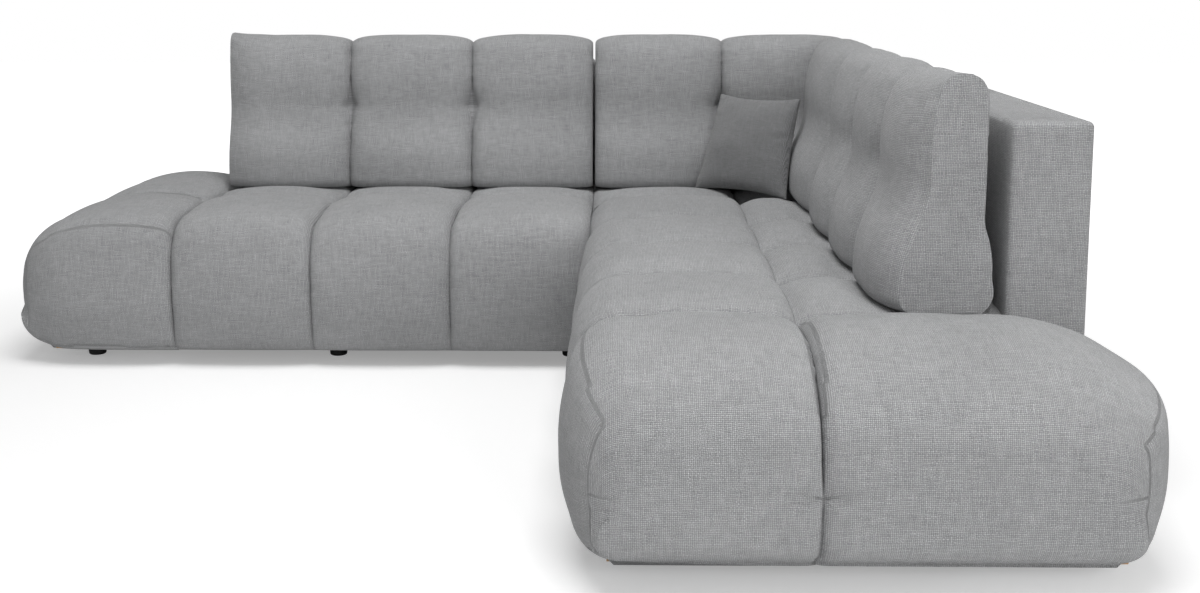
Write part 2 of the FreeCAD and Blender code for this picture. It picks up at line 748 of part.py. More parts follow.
def main():
    os.makedirs("parts", exist_ok=True)
    nodes = seat_pads()

    # Back boxes: run, start, end and places of the bolts
    corner_start = left_channels * channel + module_gap
    corner_end = right_front_x + back_outer - left_seam_x
    corner_wide = back_inner - joint_setback
    middles = [channel * (number + 0.5) for number in range(right_channels)]
    boxes = {
        "left": (left, 0, left_length, middles[:left_channels]),
        "rear": (left, corner_start, corner_end,
                 [corner_start + corner_wide * share for share in (0.3, 0.75)]),
        "side": (right, 0, right_length, middles),
    }
    all_bolts, bolt_holes = [], []
    for name, box in boxes.items():
        cover, linings, posts, rails, bolts, holes = back_frame(*box)
        nodes[name + "_back_cover"] = cut_all([cover], holes)
        nodes[name + "_back_lining"] = cut_all(linings, holes)
        nodes[name + "_back_timber"] = cut_all(posts, holes) + rails
        all_bolts += bolts
        bolt_holes += holes
    nodes["back_bolts"] = all_bolts

    plates, plate_screws, plate_holes = joining_plates()
    nodes["joining_plates"] = plates
    nodes["joining_screws"] = plate_screws

    for name, run, full, length, insets in MODULES:
        long_rails, crosses = base_boards(run, length)
        felt_sheet, core, deck = soft_layers(run, length)
        places = foot_places(length, *insets)
        made, screws, blocks = feet(run, places)
        nodes[name + "_long_rails"] = cut_all(long_rails, bolt_holes + plate_holes)
        nodes[name + "_cross_boards"] = cut_all(crosses, bolt_holes + plate_holes)
        nodes[name + "_springs"] = [spring(run, place) for place in spring_places(length)]
        nodes[name + "_spring_clips"] = [clip for place in spring_places(length)
                                         for clip in clips(run, place)]
        nodes[name + "_felt"] = [felt_sheet]
        nodes[name + "_foam_core"] = [core]
        nodes[name + "_end_deck"] = [deck]
        nodes[name + "_feet"] = made
        nodes[name + "_foot_screws"] = screws
        nodes[name + "_foot_blocks"] = blocks
        nodes[name + "_dust_cover"] = cut_all([dust_cover(run, length, places)], plate_holes)

    nodes["left_cushion"] = [even_cushion(left, 0)]
    nodes["right_cushion"] = [even_cushion(right, 0)]
    nodes["corner_cushion_rear"] = [cushion(left, left_channels * channel + cushion_end_gap,
                                            [corner_channel, corner_channel])]
    nodes["corner_cushion_side"] = [folded_cushion()]
    nodes["throw_pillow"] = [pillow()]

    for name, solids in nodes.items():
        export(name, solids)
    return nodes


if __name__ == "__main__":
    main()
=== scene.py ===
import json
import logging
import math
from dataclasses import dataclass
from enum import Enum
from typing import Callable, Sequence

import bmesh
import bpy
import numpy as np
from mathutils import Matrix, Vector, noise


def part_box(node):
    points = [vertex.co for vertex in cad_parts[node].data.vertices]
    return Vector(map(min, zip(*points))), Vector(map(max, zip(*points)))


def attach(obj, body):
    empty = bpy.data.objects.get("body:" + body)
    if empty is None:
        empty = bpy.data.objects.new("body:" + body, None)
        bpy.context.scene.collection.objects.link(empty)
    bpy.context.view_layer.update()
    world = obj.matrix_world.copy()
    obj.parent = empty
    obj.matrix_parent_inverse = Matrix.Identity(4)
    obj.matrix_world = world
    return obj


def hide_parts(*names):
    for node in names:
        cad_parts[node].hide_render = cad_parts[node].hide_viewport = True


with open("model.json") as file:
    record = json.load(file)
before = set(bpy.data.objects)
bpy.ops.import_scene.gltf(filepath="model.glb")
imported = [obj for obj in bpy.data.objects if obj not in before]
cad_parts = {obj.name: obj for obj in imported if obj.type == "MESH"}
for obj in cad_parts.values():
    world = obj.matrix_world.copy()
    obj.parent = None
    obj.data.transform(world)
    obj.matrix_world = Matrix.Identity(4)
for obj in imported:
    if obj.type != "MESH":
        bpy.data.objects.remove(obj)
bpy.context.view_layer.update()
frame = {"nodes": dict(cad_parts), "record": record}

MM = 0.001
LOG = logging.getLogger("corner_sofa")
Point = tuple[float, float]


class Body(str, Enum):
    """Bodies of the frame that the upholstery rides on."""

    SEAT = "seat"
    LEFT_CUSHION = "left_cushion"
    RIGHT_CUSHION = "right_cushion"
    CORNER_CUSHION = "corner_cushion"
    PILLOW = "throw_pillow"


class Slot(str, Enum):
    """Material slots of the record."""

    SOFA = "sofa_fabric"
    PILLOW = "pillow_fabric"
    FOOT = "foot_plastic"
    DUST = "dust_fabric"
    FELT = "felt"
    FOAM = "foam"
    TIMBER = "timber"
    BOARD = "fibreboard"
    STEEL = "steel"


# Node groups and finishes

class Nodes:
    """Short ways to add nodes to one node tree."""

    def __init__(self, tree: bpy.types.NodeTree) -> None:
        """Starts with an empty tree.

        Args:
            tree: The tree of a material or of a node group.
        """
        self.tree = tree
        tree.nodes.clear()

    def add(self, kind: str, **settings: object) -> bpy.types.Node:
        """Adds one node.

        Args:
            kind: The node's type name.
            **settings: Attributes to set on it.

        Returns:
            The new node.
        """
        node = self.tree.nodes.new(kind)
        for name, value in settings.items():
            setattr(node, name, value)
        return node

    def feed(self, socket: bpy.types.NodeSocket, source: object) -> None:
        """Links a socket to another one, or sets its value."""
        if isinstance(source, bpy.types.NodeSocket):
            self.tree.links.new(source, socket)
        else:
            socket.default_value = source

    def math(self, operation: str, *values: object) -> bpy.types.NodeSocket:
        """Adds a Math node and returns its output."""
        node = self.add("ShaderNodeMath", operation=operation)
        for socket, value in zip(node.inputs, values):
            self.feed(socket, value)
        return node.outputs[0]

    def vector(self, x: object, y: object, z: object = 0.0) -> bpy.types.NodeSocket:
        """Joins three values to a vector."""
        node = self.add("ShaderNodeCombineXYZ")
        for socket, value in zip(node.inputs, (x, y, z)):
            self.feed(socket, value)
        return node.outputs[0]

    def noise(self, where: object, scale: float, detail: float = 2.0) -> bpy.types.NodeSocket:
        """Adds a noise texture and returns its value."""
        node = self.add("ShaderNodeTexNoise")
        self.feed(node.inputs["Vector"], where)
        node.inputs["Scale"].default_value = scale
        node.inputs["Detail"].default_value = detail
        return node.outputs["Fac"]

    def colour(self, share: object, low: Sequence[float], high: Sequence[float]
               ) -> bpy.types.NodeSocket:
        """Mixes two colours by a share."""
        node = self.add("ShaderNodeMix", data_type="RGBA")
        self.feed(node.inputs["Factor"], share)
        self.feed(node.inputs["A"], (*low, 1.0))
        self.feed(node.inputs["B"], (*high, 1.0))
        return node.outputs["Result"]

    def group(self, tree: bpy.types.NodeTree, **values: object) -> bpy.types.Node:
        """Places a node group with its own input values."""
        node = self.add("ShaderNodeGroup", node_tree=tree)
        for name, value in values.items():
            self.feed(node.inputs[name], value)
        return node


def new_group(name: str, inputs: dict[str, float | None], outputs: Sequence[str]
              ) -> tuple[Nodes, bpy.types.Node, bpy.types.Node]:
    """Starts a shader node group.

    Args:
        name: The group's name.
        inputs: Names and default values; None makes a vector input.
        outputs: Names of its value outputs.

    Returns:
        The tree's helper, the group's input node and its output node.
    """
    tree = bpy.data.node_groups.new(name, "ShaderNodeTree")
    nodes = Nodes(tree)
    for label, value in inputs.items():
        kind = "NodeSocketVector" if value is None else "NodeSocketFloat"
        socket = tree.interface.new_socket(label, in_out="INPUT", socket_type=kind)
        if value is not None:
            socket.default_value = value
    for label in outputs:
        tree.interface.new_socket(label, in_out="OUTPUT", socket_type="NodeSocketFloat")
    return nodes, nodes.add("NodeGroupInput"), nodes.add("NodeGroupOutput")


def weave_group() -> bpy.types.NodeTree:
    """Builds the plain weave: single threads over and under, each with its own slubs.

    Returns:
        The group, with a tone of the threads and their height.
    """
    nodes, given, made = new_group("basket_weave", {"Place": None, "Thread": 0.0032,
                                                    "Slub": 0.05}, ["Tone", "Height"])
    split = nodes.add("ShaderNodeSeparateXYZ")
    nodes.feed(split.inputs[0], given.outputs["Place"])
    waver = nodes.math("MULTIPLY", nodes.math(
        "SUBTRACT", nodes.noise(given.outputs["Place"], 90.0, 1.0), 0.5), 0.9)
    across = [nodes.math("ADD", nodes.math("DIVIDE", split.outputs[axis],
                                           given.outputs["Thread"]), waver)
              for axis in (0, 1)]
    tones, heights = [], []
    for number, (own, other) in enumerate(((across[0], across[1]), (across[1], across[0]))):
        thread = nodes.math("FLOOR", own)
        run = nodes.math("MULTIPLY", other, given.outputs["Slub"])
        tones.append(nodes.noise(nodes.vector(
            nodes.math("MULTIPLY", thread, 7.31 + number), run, 11.0 * number), 1.0, 3.0))
        centre = nodes.math("SUBTRACT", nodes.math("FRACT", own), 0.5)
        round_top = nodes.math("SUBTRACT", 1.0, nodes.math(
            "MULTIPLY", nodes.math("MULTIPLY", centre, centre), 3.6))
        along = nodes.math("SINE", nodes.math("MULTIPLY", nodes.math(
            "FRACT", other), math.pi))
        heights.append(nodes.math("MULTIPLY", round_top,
                                  nodes.math("MULTIPLY_ADD", along, 0.45, 0.55)))
    cells = [nodes.math("FLOOR", way) for way in across]
    over = nodes.math("PINGPONG", nodes.math("ADD", *cells), 1.0)
    for label, pair in (("Tone", tones), ("Height", heights)):
        blend = nodes.add("ShaderNodeMix", data_type="FLOAT")
        nodes.feed(blend.inputs["Factor"], over)
        nodes.feed(blend.inputs["A"], pair[0])
        nodes.feed(blend.inputs["B"], pair[1])
        nodes.feed(made.inputs[label], blend.outputs["Result"])
    return nodes.tree


def grain_group() -> bpy.types.NodeTree:
    """Builds long streaks along X, for wood and brushed steel, with their height."""
    nodes, given, made = new_group("grain", {"Place": None, "Stretch": 0.06, "Scale": 60.0},
                                   ["Tone"])
    split = nodes.add("ShaderNodeSeparateXYZ")
    nodes.feed(split.inputs[0], given.outputs["Place"])
    place = nodes.vector(nodes.math("MULTIPLY", split.outputs[0], given.outputs["Stretch"]),
                         split.outputs[1], split.outputs[2])
    node = nodes.add("ShaderNodeTexNoise")
    nodes.feed(node.inputs["Vector"], place)
    nodes.feed(node.inputs["Scale"], given.outputs["Scale"])
    node.inputs["Detail"].default_value = 5.0
    nodes.feed(made.inputs["Tone"], node.outputs["Fac"])
    return nodes.tree


def wear_group() -> bpy.types.NodeTree:
    """Builds the soft patches of dust, handling and pile that every finish has."""
    nodes, given, made = new_group("patches", {"Place": None, "Scale": 3.0}, ["Tone"])
    node = nodes.add("ShaderNodeTexNoise")
    nodes.feed(node.inputs["Vector"], given.outputs["Place"])
    nodes.feed(node.inputs["Scale"], given.outputs["Scale"])
    node.inputs["Detail"].default_value = 4.0
    nodes.feed(made.inputs["Tone"], node.outputs["Fac"])
    return nodes.tree


@dataclass(frozen=True)
class Groups:
    """Node groups that the finishes share."""

    weave: bpy.types.NodeTree
    grain: bpy.types.NodeTree
    wear: bpy.types.NodeTree


def start_material(name: str, roughness: float) -> tuple[bpy.types.Material, Nodes,
                                                         bpy.types.Node]:
    """Makes a material with its shader in place.

    Args:
        name: The material's name.
        roughness: Roughness of the shader.

    Returns:
        The material, its tree's helper and its shader.
    """
    material = bpy.data.materials.new(name)
    material.use_nodes = True
    nodes = Nodes(material.node_tree)
    shader = nodes.add("ShaderNodeBsdfPrincipled")
    shader.inputs["Roughness"].default_value = roughness
    out = nodes.add("ShaderNodeOutputMaterial")
    nodes.feed(out.inputs["Surface"], shader.outputs["BSDF"])
    return material, nodes, shader


def add_bump(nodes: Nodes, shader: bpy.types.Node, height: bpy.types.NodeSocket,
             depth: float, strength: float) -> None:
    """Feeds a height to the shader's normal through a Bump node."""
    bump = nodes.add("ShaderNodeBump")
    bump.inputs["Distance"].default_value = depth
    bump.inputs["Strength"].default_value = strength
    nodes.feed(bump.inputs["Height"], height)
    nodes.feed(shader.inputs["Normal"], bump.outputs["Normal"])


@dataclass(frozen=True)
class WovenFinish:
    """Woven upholstery fabric; colours are linear."""

    name: str
    dark: tuple[float, float, float]
    light: tuple[float, float, float]
    thread: float = 0.0034
    slub: float = 0.09
    relief: float = 0.0018
    sheen: float = 0.2
    contrast: float = 1.6

    def build(self, groups: Groups) -> bpy.types.Material:
        """Makes the material.

        Args:
            groups: The shared node groups.

        Returns:
            The fabric's material.
        """
        material, nodes, shader = start_material(self.name, 0.92)
        place = nodes.add("ShaderNodeUVMap", uv_map="fabric")
        weave = nodes.group(groups.weave, Place=place.outputs["UV"], Thread=self.thread,
                            Slub=self.slub)
        where = nodes.add("ShaderNodeTexCoord")
        patches = nodes.group(groups.wear, Place=where.outputs["Object"], Scale=4.0)
        tone = nodes.math("MULTIPLY_ADD", nodes.math(
            "SUBTRACT", weave.outputs["Tone"], 0.5), self.contrast, 0.5)
        tone = nodes.math("MULTIPLY_ADD", nodes.math(
            "SUBTRACT", patches.outputs["Tone"], 0.5), 0.5, tone)
        # Painted shade: the colour darkens where the weave's height is low, at the sides of
        # each thread and in the gaps between threads.
        deep = nodes.math("MULTIPLY_ADD", weave.outputs["Height"], 0.75, 0.02)
        share = nodes.math("MULTIPLY", nodes.math("ADD", tone, 0.35), deep)
        clamp = nodes.add("ShaderNodeClamp")
        nodes.feed(clamp.inputs["Value"], share)
        nodes.feed(shader.inputs["Base Color"],
                   nodes.colour(clamp.outputs[0], self.dark, self.light))
        shader.inputs["Sheen Weight"].default_value = self.sheen
        shader.inputs["Sheen Roughness"].default_value = 0.5
        shader.inputs["Specular IOR Level"].default_value = 0.2
        add_bump(nodes, shader, weave.outputs["Height"], self.relief, 0.8)
        return material


@dataclass(frozen=True)
class GrainedFinish:
    """Wood, board, felt, foam, plastic or metal with streaks or a fine grain."""

    name: str
    dark: tuple[float, float, float]
    light: tuple[float, float, float]
    roughness: float = 0.7
    metallic: float = 0.0
    stretch: float = 1.0
    scale: float = 60.0
    relief: float = 0.0004

    def build(self, groups: Groups) -> bpy.types.Material:
        """Makes the material.

        Args:
            groups: The shared node groups.

        Returns:
            The finish's material.
        """
        material, nodes, shader = start_material(self.name, self.roughness)
        where = nodes.add("ShaderNodeTexCoord")
        grain = nodes.group(groups.grain, Place=where.outputs["Object"],
                            Stretch=self.stretch, Scale=self.scale)
        patches = nodes.group(groups.wear, Place=where.outputs["Object"], Scale=9.0)
        share = nodes.math("MULTIPLY_ADD", nodes.math(
            "SUBTRACT", grain.outputs["Tone"], 0.5), 1.8, patches.outputs["Tone"])
        nodes.feed(shader.inputs["Base Color"], nodes.colour(share, self.dark, self.light))
        nodes.feed(shader.inputs["Roughness"], nodes.math(
            "MULTIPLY_ADD", patches.outputs["Tone"], 0.2, self.roughness - 0.1))
        shader.inputs["Metallic"].default_value = self.metallic
        add_bump(nodes, shader, grain.outputs["Tone"], self.relief, 0.5)
        return material


FINISHES = {
    Slot.SOFA: WovenFinish("grey_basket_weave", (0.17, 0.172, 0.176), (0.70, 0.705, 0.715)),
    Slot.PILLOW: WovenFinish("soft_grey_weave", (0.09, 0.09, 0.093), (0.40, 0.405, 0.41),
                             thread=0.003, slub=0.1, relief=0.0014, sheen=0.35,
                             contrast=1.3),
    Slot.FOOT: GrainedFinish("black_moulded_foot", (0.006, 0.006, 0.006),
                             (0.02, 0.02, 0.02), 0.45, scale=400.0, relief=0.0001),
    Slot.DUST: GrainedFinish("black_dust_fabric", (0.01, 0.01, 0.01), (0.03, 0.03, 0.03),
                             0.95, scale=300.0),
    Slot.FELT: GrainedFinish("grey_felt", (0.12, 0.12, 0.12), (0.3, 0.3, 0.29), 0.98,
                             scale=220.0),
    Slot.FOAM: GrainedFinish("yellowed_foam", (0.62, 0.55, 0.36), (0.8, 0.75, 0.58), 0.95,
                             scale=350.0),
    Slot.TIMBER: GrainedFinish("pine_boards", (0.42, 0.24, 0.11), (0.68, 0.47, 0.26), 0.6,
                               stretch=0.06, scale=45.0),
    Slot.BOARD: GrainedFinish("brown_fibreboard", (0.17, 0.09, 0.045), (0.3, 0.18, 0.1),
                              0.8, scale=500.0),
    Slot.STEEL: GrainedFinish("drawn_steel", (0.32, 0.32, 0.33), (0.62, 0.62, 0.63), 0.38,
                              1.0, stretch=0.2, scale=120.0, relief=0.0001),
}


# Directions, outlines and meshes

@dataclass(frozen=True)
class Run:
    """One module's own directions, in millimetres: along its channels, and depth."""

    origin: tuple[float, float]
    u: tuple[float, float]
    v: tuple[float, float]

    def at(self, along: np.ndarray, depth: np.ndarray, z: np.ndarray) -> np.ndarray:
        """Places in the sofa's own frame, in metres."""
        x = self.origin[0] + self.u[0] * along + self.v[0] * depth
        y = self.origin[1] + self.u[1] * along + self.v[1] * depth
        return np.stack(np.broadcast_arrays(x, y, z), axis=-1) * MM


def node_box(node: str) -> tuple[np.ndarray, np.ndarray]:
    """Lowest and highest corner of a CAD node, in millimetres."""
    low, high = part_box(node)
    return np.array(low) / MM, np.array(high) / MM


def mix(a: object, b: object, share: float) -> object:
    """A value or a nested outline between a and b."""
    if isinstance(a, (list, tuple)):
        return [mix(p, q, share) for p, q in zip(a, b)]
    return a + (b - a) * share


def arc(start: Point, middle: Point, end: Point, count: int) -> list[Point]:
    """Points after start, along the arc through middle to end.

    Args:
        start: Where the arc starts.
        middle: A point on it.
        end: Where it ends.
        count: How many points.

    Returns:
        The points, the last of which is end.
    """
    (ax, ay), (bx, by), (cx, cy) = start, middle, end
    twice = 2 * (ax * (by - cy) + bx * (cy - ay) + cx * (ay - by))
    if abs(twice) < 1e-3:
        return [(ax + (cx - ax) * k / count, ay + (cy - ay) * k / count)
                for k in range(1, count + 1)]
    a2, b2, c2 = ax * ax + ay * ay, bx * bx + by * by, cx * cx + cy * cy
    ox = (a2 * (by - cy) + b2 * (cy - ay) + c2 * (ay - by)) / twice
    oy = (a2 * (cx - bx) + b2 * (ax - cx) + c2 * (bx - ax)) / twice
    radius = math.hypot(ax - ox, ay - oy)
    first = math.atan2(ay - oy, ax - ox)
    turn = (math.atan2(cy - oy, cx - ox) - first) % math.tau
    if (math.atan2(by - oy, bx - ox) - first) % math.tau > turn:
        turn -= math.tau
    return [(ox + radius * math.cos(first + turn * k / count),
             oy + radius * math.sin(first + turn * k / count))
            for k in range(1, count + 1)]


def is_arc(step: Sequence) -> bool:
    """Whether an outline's step is an arc's middle and end."""
    return isinstance(step[0], (list, tuple))


def step_counts(outline: Sequence, spacing: float) -> list[int]:
    """How many points each step of an outline gets.

    Args:
        outline: A start point, then end points or arcs.
        spacing: Wanted distance between points.

    Returns:
        One count for each step after the first.
    """
    ends = [step[-1] if is_arc(step) else step for step in outline]
    return [max(2, round(math.dist(a, b) / spacing)) if is_arc(step)
            else max(1, round(math.dist(a, b) / spacing / 3))
            for a, b, step in zip(ends, ends[1:], outline[1:])]


def trace(outline: Sequence, counts: Sequence[int]) -> np.ndarray:
    """Points of an outline as an array of depths and heights."""
    points = [tuple(outline[0])]
    for step, count in zip(outline[1:], counts):
        if is_arc(step):
            points += arc(points[-1], step[0], step[1], count)
        else:
            points += arc(points[-1], step, step, count)
    return np.array(points)


def smooth_line(points: np.ndarray, passes: int = 3) -> np.ndarray:
    """Softens the kinks between arcs, with both ends kept."""
    for _ in range(passes):
        points = points.copy()
        points[..., 1:-1, :] = (points[..., :-2, :] + 2 * points[..., 1:-1, :]
                                + points[..., 2:, :]) / 4
    return points


def lengths(points: np.ndarray) -> np.ndarray:
    """Distance along a line of points, from its start."""
    steps = np.linalg.norm(np.diff(points, axis=0), axis=1)
    return np.concatenate([[0.0], np.cumsum(steps)])


def uneven(place: np.ndarray, size: float, seed: float) -> np.ndarray:
    """Smooth noise at each place, about -1 to 1."""
    flat = place.reshape(-1, 3) / size
    shift = Vector((seed * 3.7, seed * 1.3, seed * 2.9))
    values = [noise.noise(Vector(point) + shift) for point in flat]
    return np.array(values).reshape(place.shape[:-1])


def outward(grid: np.ndarray) -> np.ndarray:
    """Unit normals of a grid of points, facing away from its middle."""
    normal = np.cross(np.gradient(grid, axis=0), np.gradient(grid, axis=1))
    size = np.linalg.norm(normal, axis=-1, keepdims=True)
    normal = normal / np.maximum(size, 1e-12)
    middle = grid.reshape(-1, 3).mean(axis=0)
    return -normal if ((grid - middle) * normal).sum() < 0 else normal


@dataclass(frozen=True)
class SeamFolds:
    """Small folds that the thread draws along a seam; sizes in millimetres."""

    coarse: float
    fine: float
    coarse_row: float
    fine_row: float
    fine_share: float

    def along(self, path: np.ndarray, seed: float) -> np.ndarray:
        """Heights of the folds, from about -1 to 1."""
        return np.array([
            noise.noise(Vector((v / self.coarse, seed, self.coarse_row)))
            + self.fine_share * noise.noise(Vector((v / self.fine, seed, self.fine_row)))
            for v in path])


def rolled_out(along: np.ndarray, path: np.ndarray) -> tuple[np.ndarray, np.ndarray]:
    """Fabric coordinates of rings in metres: along the run, and round each ring."""
    return (np.repeat(along[:, None], len(path), axis=1) * MM,
            np.repeat(path[None, :], len(along), axis=0) * MM)


def into_scene(name: str, mesh: bpy.types.Mesh, merge: float, sliver: float
               ) -> bpy.types.Object:
    """Joins doubled points, turns the faces outwards and links the piece.

    Args:
        name: The piece's name.
        mesh: Its mesh.
        merge: Distance within which points are one, in metres.
        sliver: Length below which an edge goes, or 0 to keep them all.

    Returns:
        The object.
    """
    work = bmesh.new()
    work.from_mesh(mesh)
    bmesh.ops.remove_doubles(work, verts=work.verts, dist=merge)
    if sliver:
        bmesh.ops.dissolve_degenerate(work, edges=work.edges, dist=sliver)
    bmesh.ops.recalc_face_normals(work, faces=work.faces)
    work.to_mesh(mesh)
    work.free()
    mesh.polygons.foreach_set("use_smooth", [True] * len(mesh.polygons))
    piece = bpy.data.objects.new(name, mesh)
    bpy.context.scene.collection.objects.link(piece)
    return piece


def close_mesh(name: str, points: np.ndarray, u: np.ndarray, v: np.ndarray,
               sharp: float = 50.0) -> bpy.types.Object:
    """Makes a closed piece from rings of points.

    Args:
        name: The piece's name.
        points: Rings of points in metres, as rings x points x 3.
        u: Fabric coordinate of each point across the rings, in metres.
        v: Fabric coordinate along each ring, with one more column to close it.
        sharp: Angle in degrees above which an edge stays sharp.

    Returns:
        The object.
    """
    rings, count, _ = points.shape
    ring = np.arange(rings - 1)[:, None] * count
    here = ring + np.arange(count)[None, :]
    there = ring + (np.arange(count)[None, :] + 1) % count
    quads = np.stack([here, there, there + count, here + count], axis=-1).reshape(-1, 4)
    caps = [list(range(count))[::-1], list(range((rings - 1) * count, rings * count))]
    mesh = bpy.data.meshes.new(name)
    mesh.from_pydata(points.reshape(-1, 3).tolist(), [], quads.tolist() + caps)
    layer = mesh.uv_layers.new(name="fabric")
    corners = np.stack([
        np.stack([u[:-1, :-1], v[:-1, :-1]], -1), np.stack([u[:-1, 1:], v[:-1, 1:]], -1),
        np.stack([u[1:, 1:], v[1:, 1:]], -1), np.stack([u[1:, :-1], v[1:, :-1]], -1),
    ], axis=2).reshape(-1, 2)
    ends = [np.stack([points[index, :, 0] + points[index, :, 1], points[index, :, 2]], -1)
            for index in (0, -1)]
    layer.data.foreach_set("uv", np.concatenate(
        [corners, ends[0][::-1], ends[1]]).ravel().astype(np.float32))
    piece = into_scene(name, mesh, merge=1e-5, sliver=1e-6)
    mesh.set_sharp_from_angle(angle=math.radians(sharp))
    return piece


@dataclass(frozen=True)
class Dresser:
    """Gives pieces their material by slot and their body, and hides the CAD nodes that they
    stand for.
    """

    materials: dict[Slot, bpy.types.Material]

    def dress(self, piece: bpy.types.Object, slot: Slot, body: Body,
              nodes: Sequence[str], fill: float) -> None:
        """Finishes one padded piece.

        Args:
            piece: The object.
            slot: The material slot that it takes its finish from.
            body: The body that it rides on.
            nodes: The CAD nodes that it stands for.
            fill: How tight it is filled, from 0 to 1; not used.
        """
        piece.data.materials.append(self.materials[slot])
        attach(piece, body.value)
        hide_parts(*nodes)
        LOG.info("%s: %d faces on %s", piece.name, len(piece.data.polygons), body.value)


def seam_shares(count: int) -> np.ndarray:
    """Places across a channel, closer together at its seams."""
    return (1 - np.cos(np.linspace(0, math.pi, count))) / 2


def fullness(share: float, power: float, round_off: float = 1.6) -> float:
    """How far a channel is filled, with a tight roll into its seams."""
    return max(0.0, 1 - abs(2 * share - 1) ** power) ** (1 / round_off)


def pulled_in(distance: float, depth: float = 0.75, reach: float = 9.0) -> float:
    """How much deeper the thread pulls the fabric in, close to a seam."""
    return depth * math.exp(-distance / reach)


@dataclass(frozen=True)
class SeatShape:
    """Outlines of the seat, in millimetres."""

    row_depth: float = 474.0
    back_inner: float = 893.0
    end_depth: float = 1133.0
    end_channel: float = 445.0
    base_z: float = 40.0
    bulge_z: float = 215.0
    crown_z: float = 448.0
    back_crown_z: float = 437.0
    corner_crown_z: float = 417.0
    seat_z: float = 422.0
    flat_from: float = 622.0
    seam_drop: float = 31.0
    seam_groove: float = 24.0
    row_seam_drop: float = 38.0
    foot_setback: float = 83.0
    core_inset: float = 92.0
    core_z: float = 330.0
    end_fill: float = 220.0
    end_round: float = 300.0
    end_top_keep: float = 0.3
    end_round_low: float = 170.0
    end_low_keep: float = 0.4
    end_round_side: float = 280.0
    end_side_keep: float = 0.74

    def front_top(self, drop: float, groove: float) -> list:
        """Outside of the front row from the lower edge to the row seam."""
        top = self.crown_z - drop
        row_top = self.crown_z - self.row_seam_drop - drop * 0.6
        back, low, mid = self.foot_setback, self.base_z, self.bulge_z
        return [
            [back, low],
            [[back * 0.46 + groove * 0.5, low + 18], [17 + groove * 0.85, low + 65]],
            [[2 + groove, mid - 55], [groove, mid]],
            [[2 + groove, mid + 65], [14 + groove * 0.8, mid + 125 - drop / 2]],
            [[52 + groove * 0.5, top - 33], [150, top - 10]],
            [[300, top], [self.row_depth - 46, top - 9]],
            [[self.row_depth - 10, top - 22], [self.row_depth, row_top]],
        ]

    def back_top(self, drop: float, top: float) -> list:
        """Top of the back row from the row seam to the back frame."""
        row_top = self.crown_z - self.row_seam_drop - drop * 0.6
        under = self.seat_z - drop / 2
        near = self.row_depth
        return [
            [near, row_top],
            [[near + 16, top - 14 - drop], [near + 90, top - drop]],
            [[self.flat_from - 16, mix(top - drop, under, 0.38) + 1],
             [self.flat_from, under]],
            [self.back_inner, under],
        ]

    def outer_back(self, drop: float, groove: float) -> list:
        """Open end's back half, from the row seam round the outside."""
        top, far, mid, low = self.crown_z - drop, self.end_depth, self.bulge_z, self.base_z
        return [
            [self.row_depth, self.crown_z - self.row_seam_drop - drop * 0.6],
            [[self.row_depth + 12, top - 18], [self.row_depth + 60, top - 6]],
            [[self.row_depth + 190, top - 1], [self.row_depth + 330, top - 3]],
            [[far - 183 - groove, top - 14], [far - 118 - groove, top - 34]],
            [[far - 78 - groove, top - 59], [far - 32 - groove, top - 88]],
            [[far - 14 - groove, top - 107], [far - 5 - groove, mid + 90 - drop / 2]],
            [[far - 1 - groove, mid + 45], [far - groove, mid]],
            [[far - 2 - groove, mid - 55], [far - 15 - groove, low + 65]],
            [[far - 36 - groove * 0.6, low + 18], [far - self.foot_setback, low]],
        ]


SHAPE = SeatShape()


@dataclass(frozen=True)
class Channel:
    """One upholstered channel of the seat, between two cross seams."""

    name: str
    run: Run
    start: float
    width: float
    top_line: Callable[[float, float], list]
    inner: tuple[Point, ...]
    across: int = 46
    spacing: float = 9.0
    fill_power: float = 2.6
    pucker: float = 1.6
    pucker_reach: float = 22.0
    swell: float = 2.2
    swell_size: float = 0.15
    folds: SeamFolds = SeamFolds(17.0, 8.0, 0.0, 4.0, 0.6)

    def build(self) -> bpy.types.Object:
        """Builds the channel's closed mesh with its seams, puckers and soft dents.

        Returns:
            The object.
        """
        shares = seam_shares(self.across)
        counts = step_counts(self.top_line(0.0, 0.0), self.spacing)
        rings = []
        for share in shares:
            empty = 1 - fullness(share, self.fill_power) \
                + pulled_in(min(share, 1 - share) * self.width)
            line = trace(self.top_line(SHAPE.seam_drop * empty, SHAPE.seam_groove * empty),
                         counts)
            rings.append(smooth_line(line))
        skin = np.array(rings)
        along = self.start + self.width * shares
        grid = self.run.at(along[:, None], skin[..., 0], skin[..., 1])
        depth = lengths(skin[len(shares) // 2])
        edge = np.minimum(shares, 1 - shares)[:, None] * self.width
        seed = (self.start * 0.013 + self.inner[0][1] * 0.01
                + self.run.origin[0] * 0.003)
        fold = self.folds.along(depth, seed)
        lift = self.swell * MM * uneven(grid, self.swell_size, seed)
        lift = lift + self.pucker * MM * fold[None, :] * np.exp(-edge / self.pucker_reach) * 1.8
        calm = np.minimum(1.0, edge / 5.0)
        ends = np.minimum(np.arange(len(depth)), np.arange(len(depth))[::-1])[None, :] / 4.0
        grid = grid + outward(grid) * (lift * calm * np.minimum(1.0, ends))[..., None]
        inside = np.array(self.inner)
        deep = self.run.at(along[:, None], inside[None, :, 0] + 0 * along[:, None],
                           inside[None, :, 1] + 0 * along[:, None])
        points = np.concatenate([grid, deep], axis=1)
        v_line = np.concatenate([depth, depth[-1] + 60.0 * np.arange(1, len(inside) + 2)])
        return close_mesh(self.name, points, *rolled_out(along, v_line))


class EndHalf(Enum):
    """Which half of an open end."""

    FRONT = -1
    BACK = 1


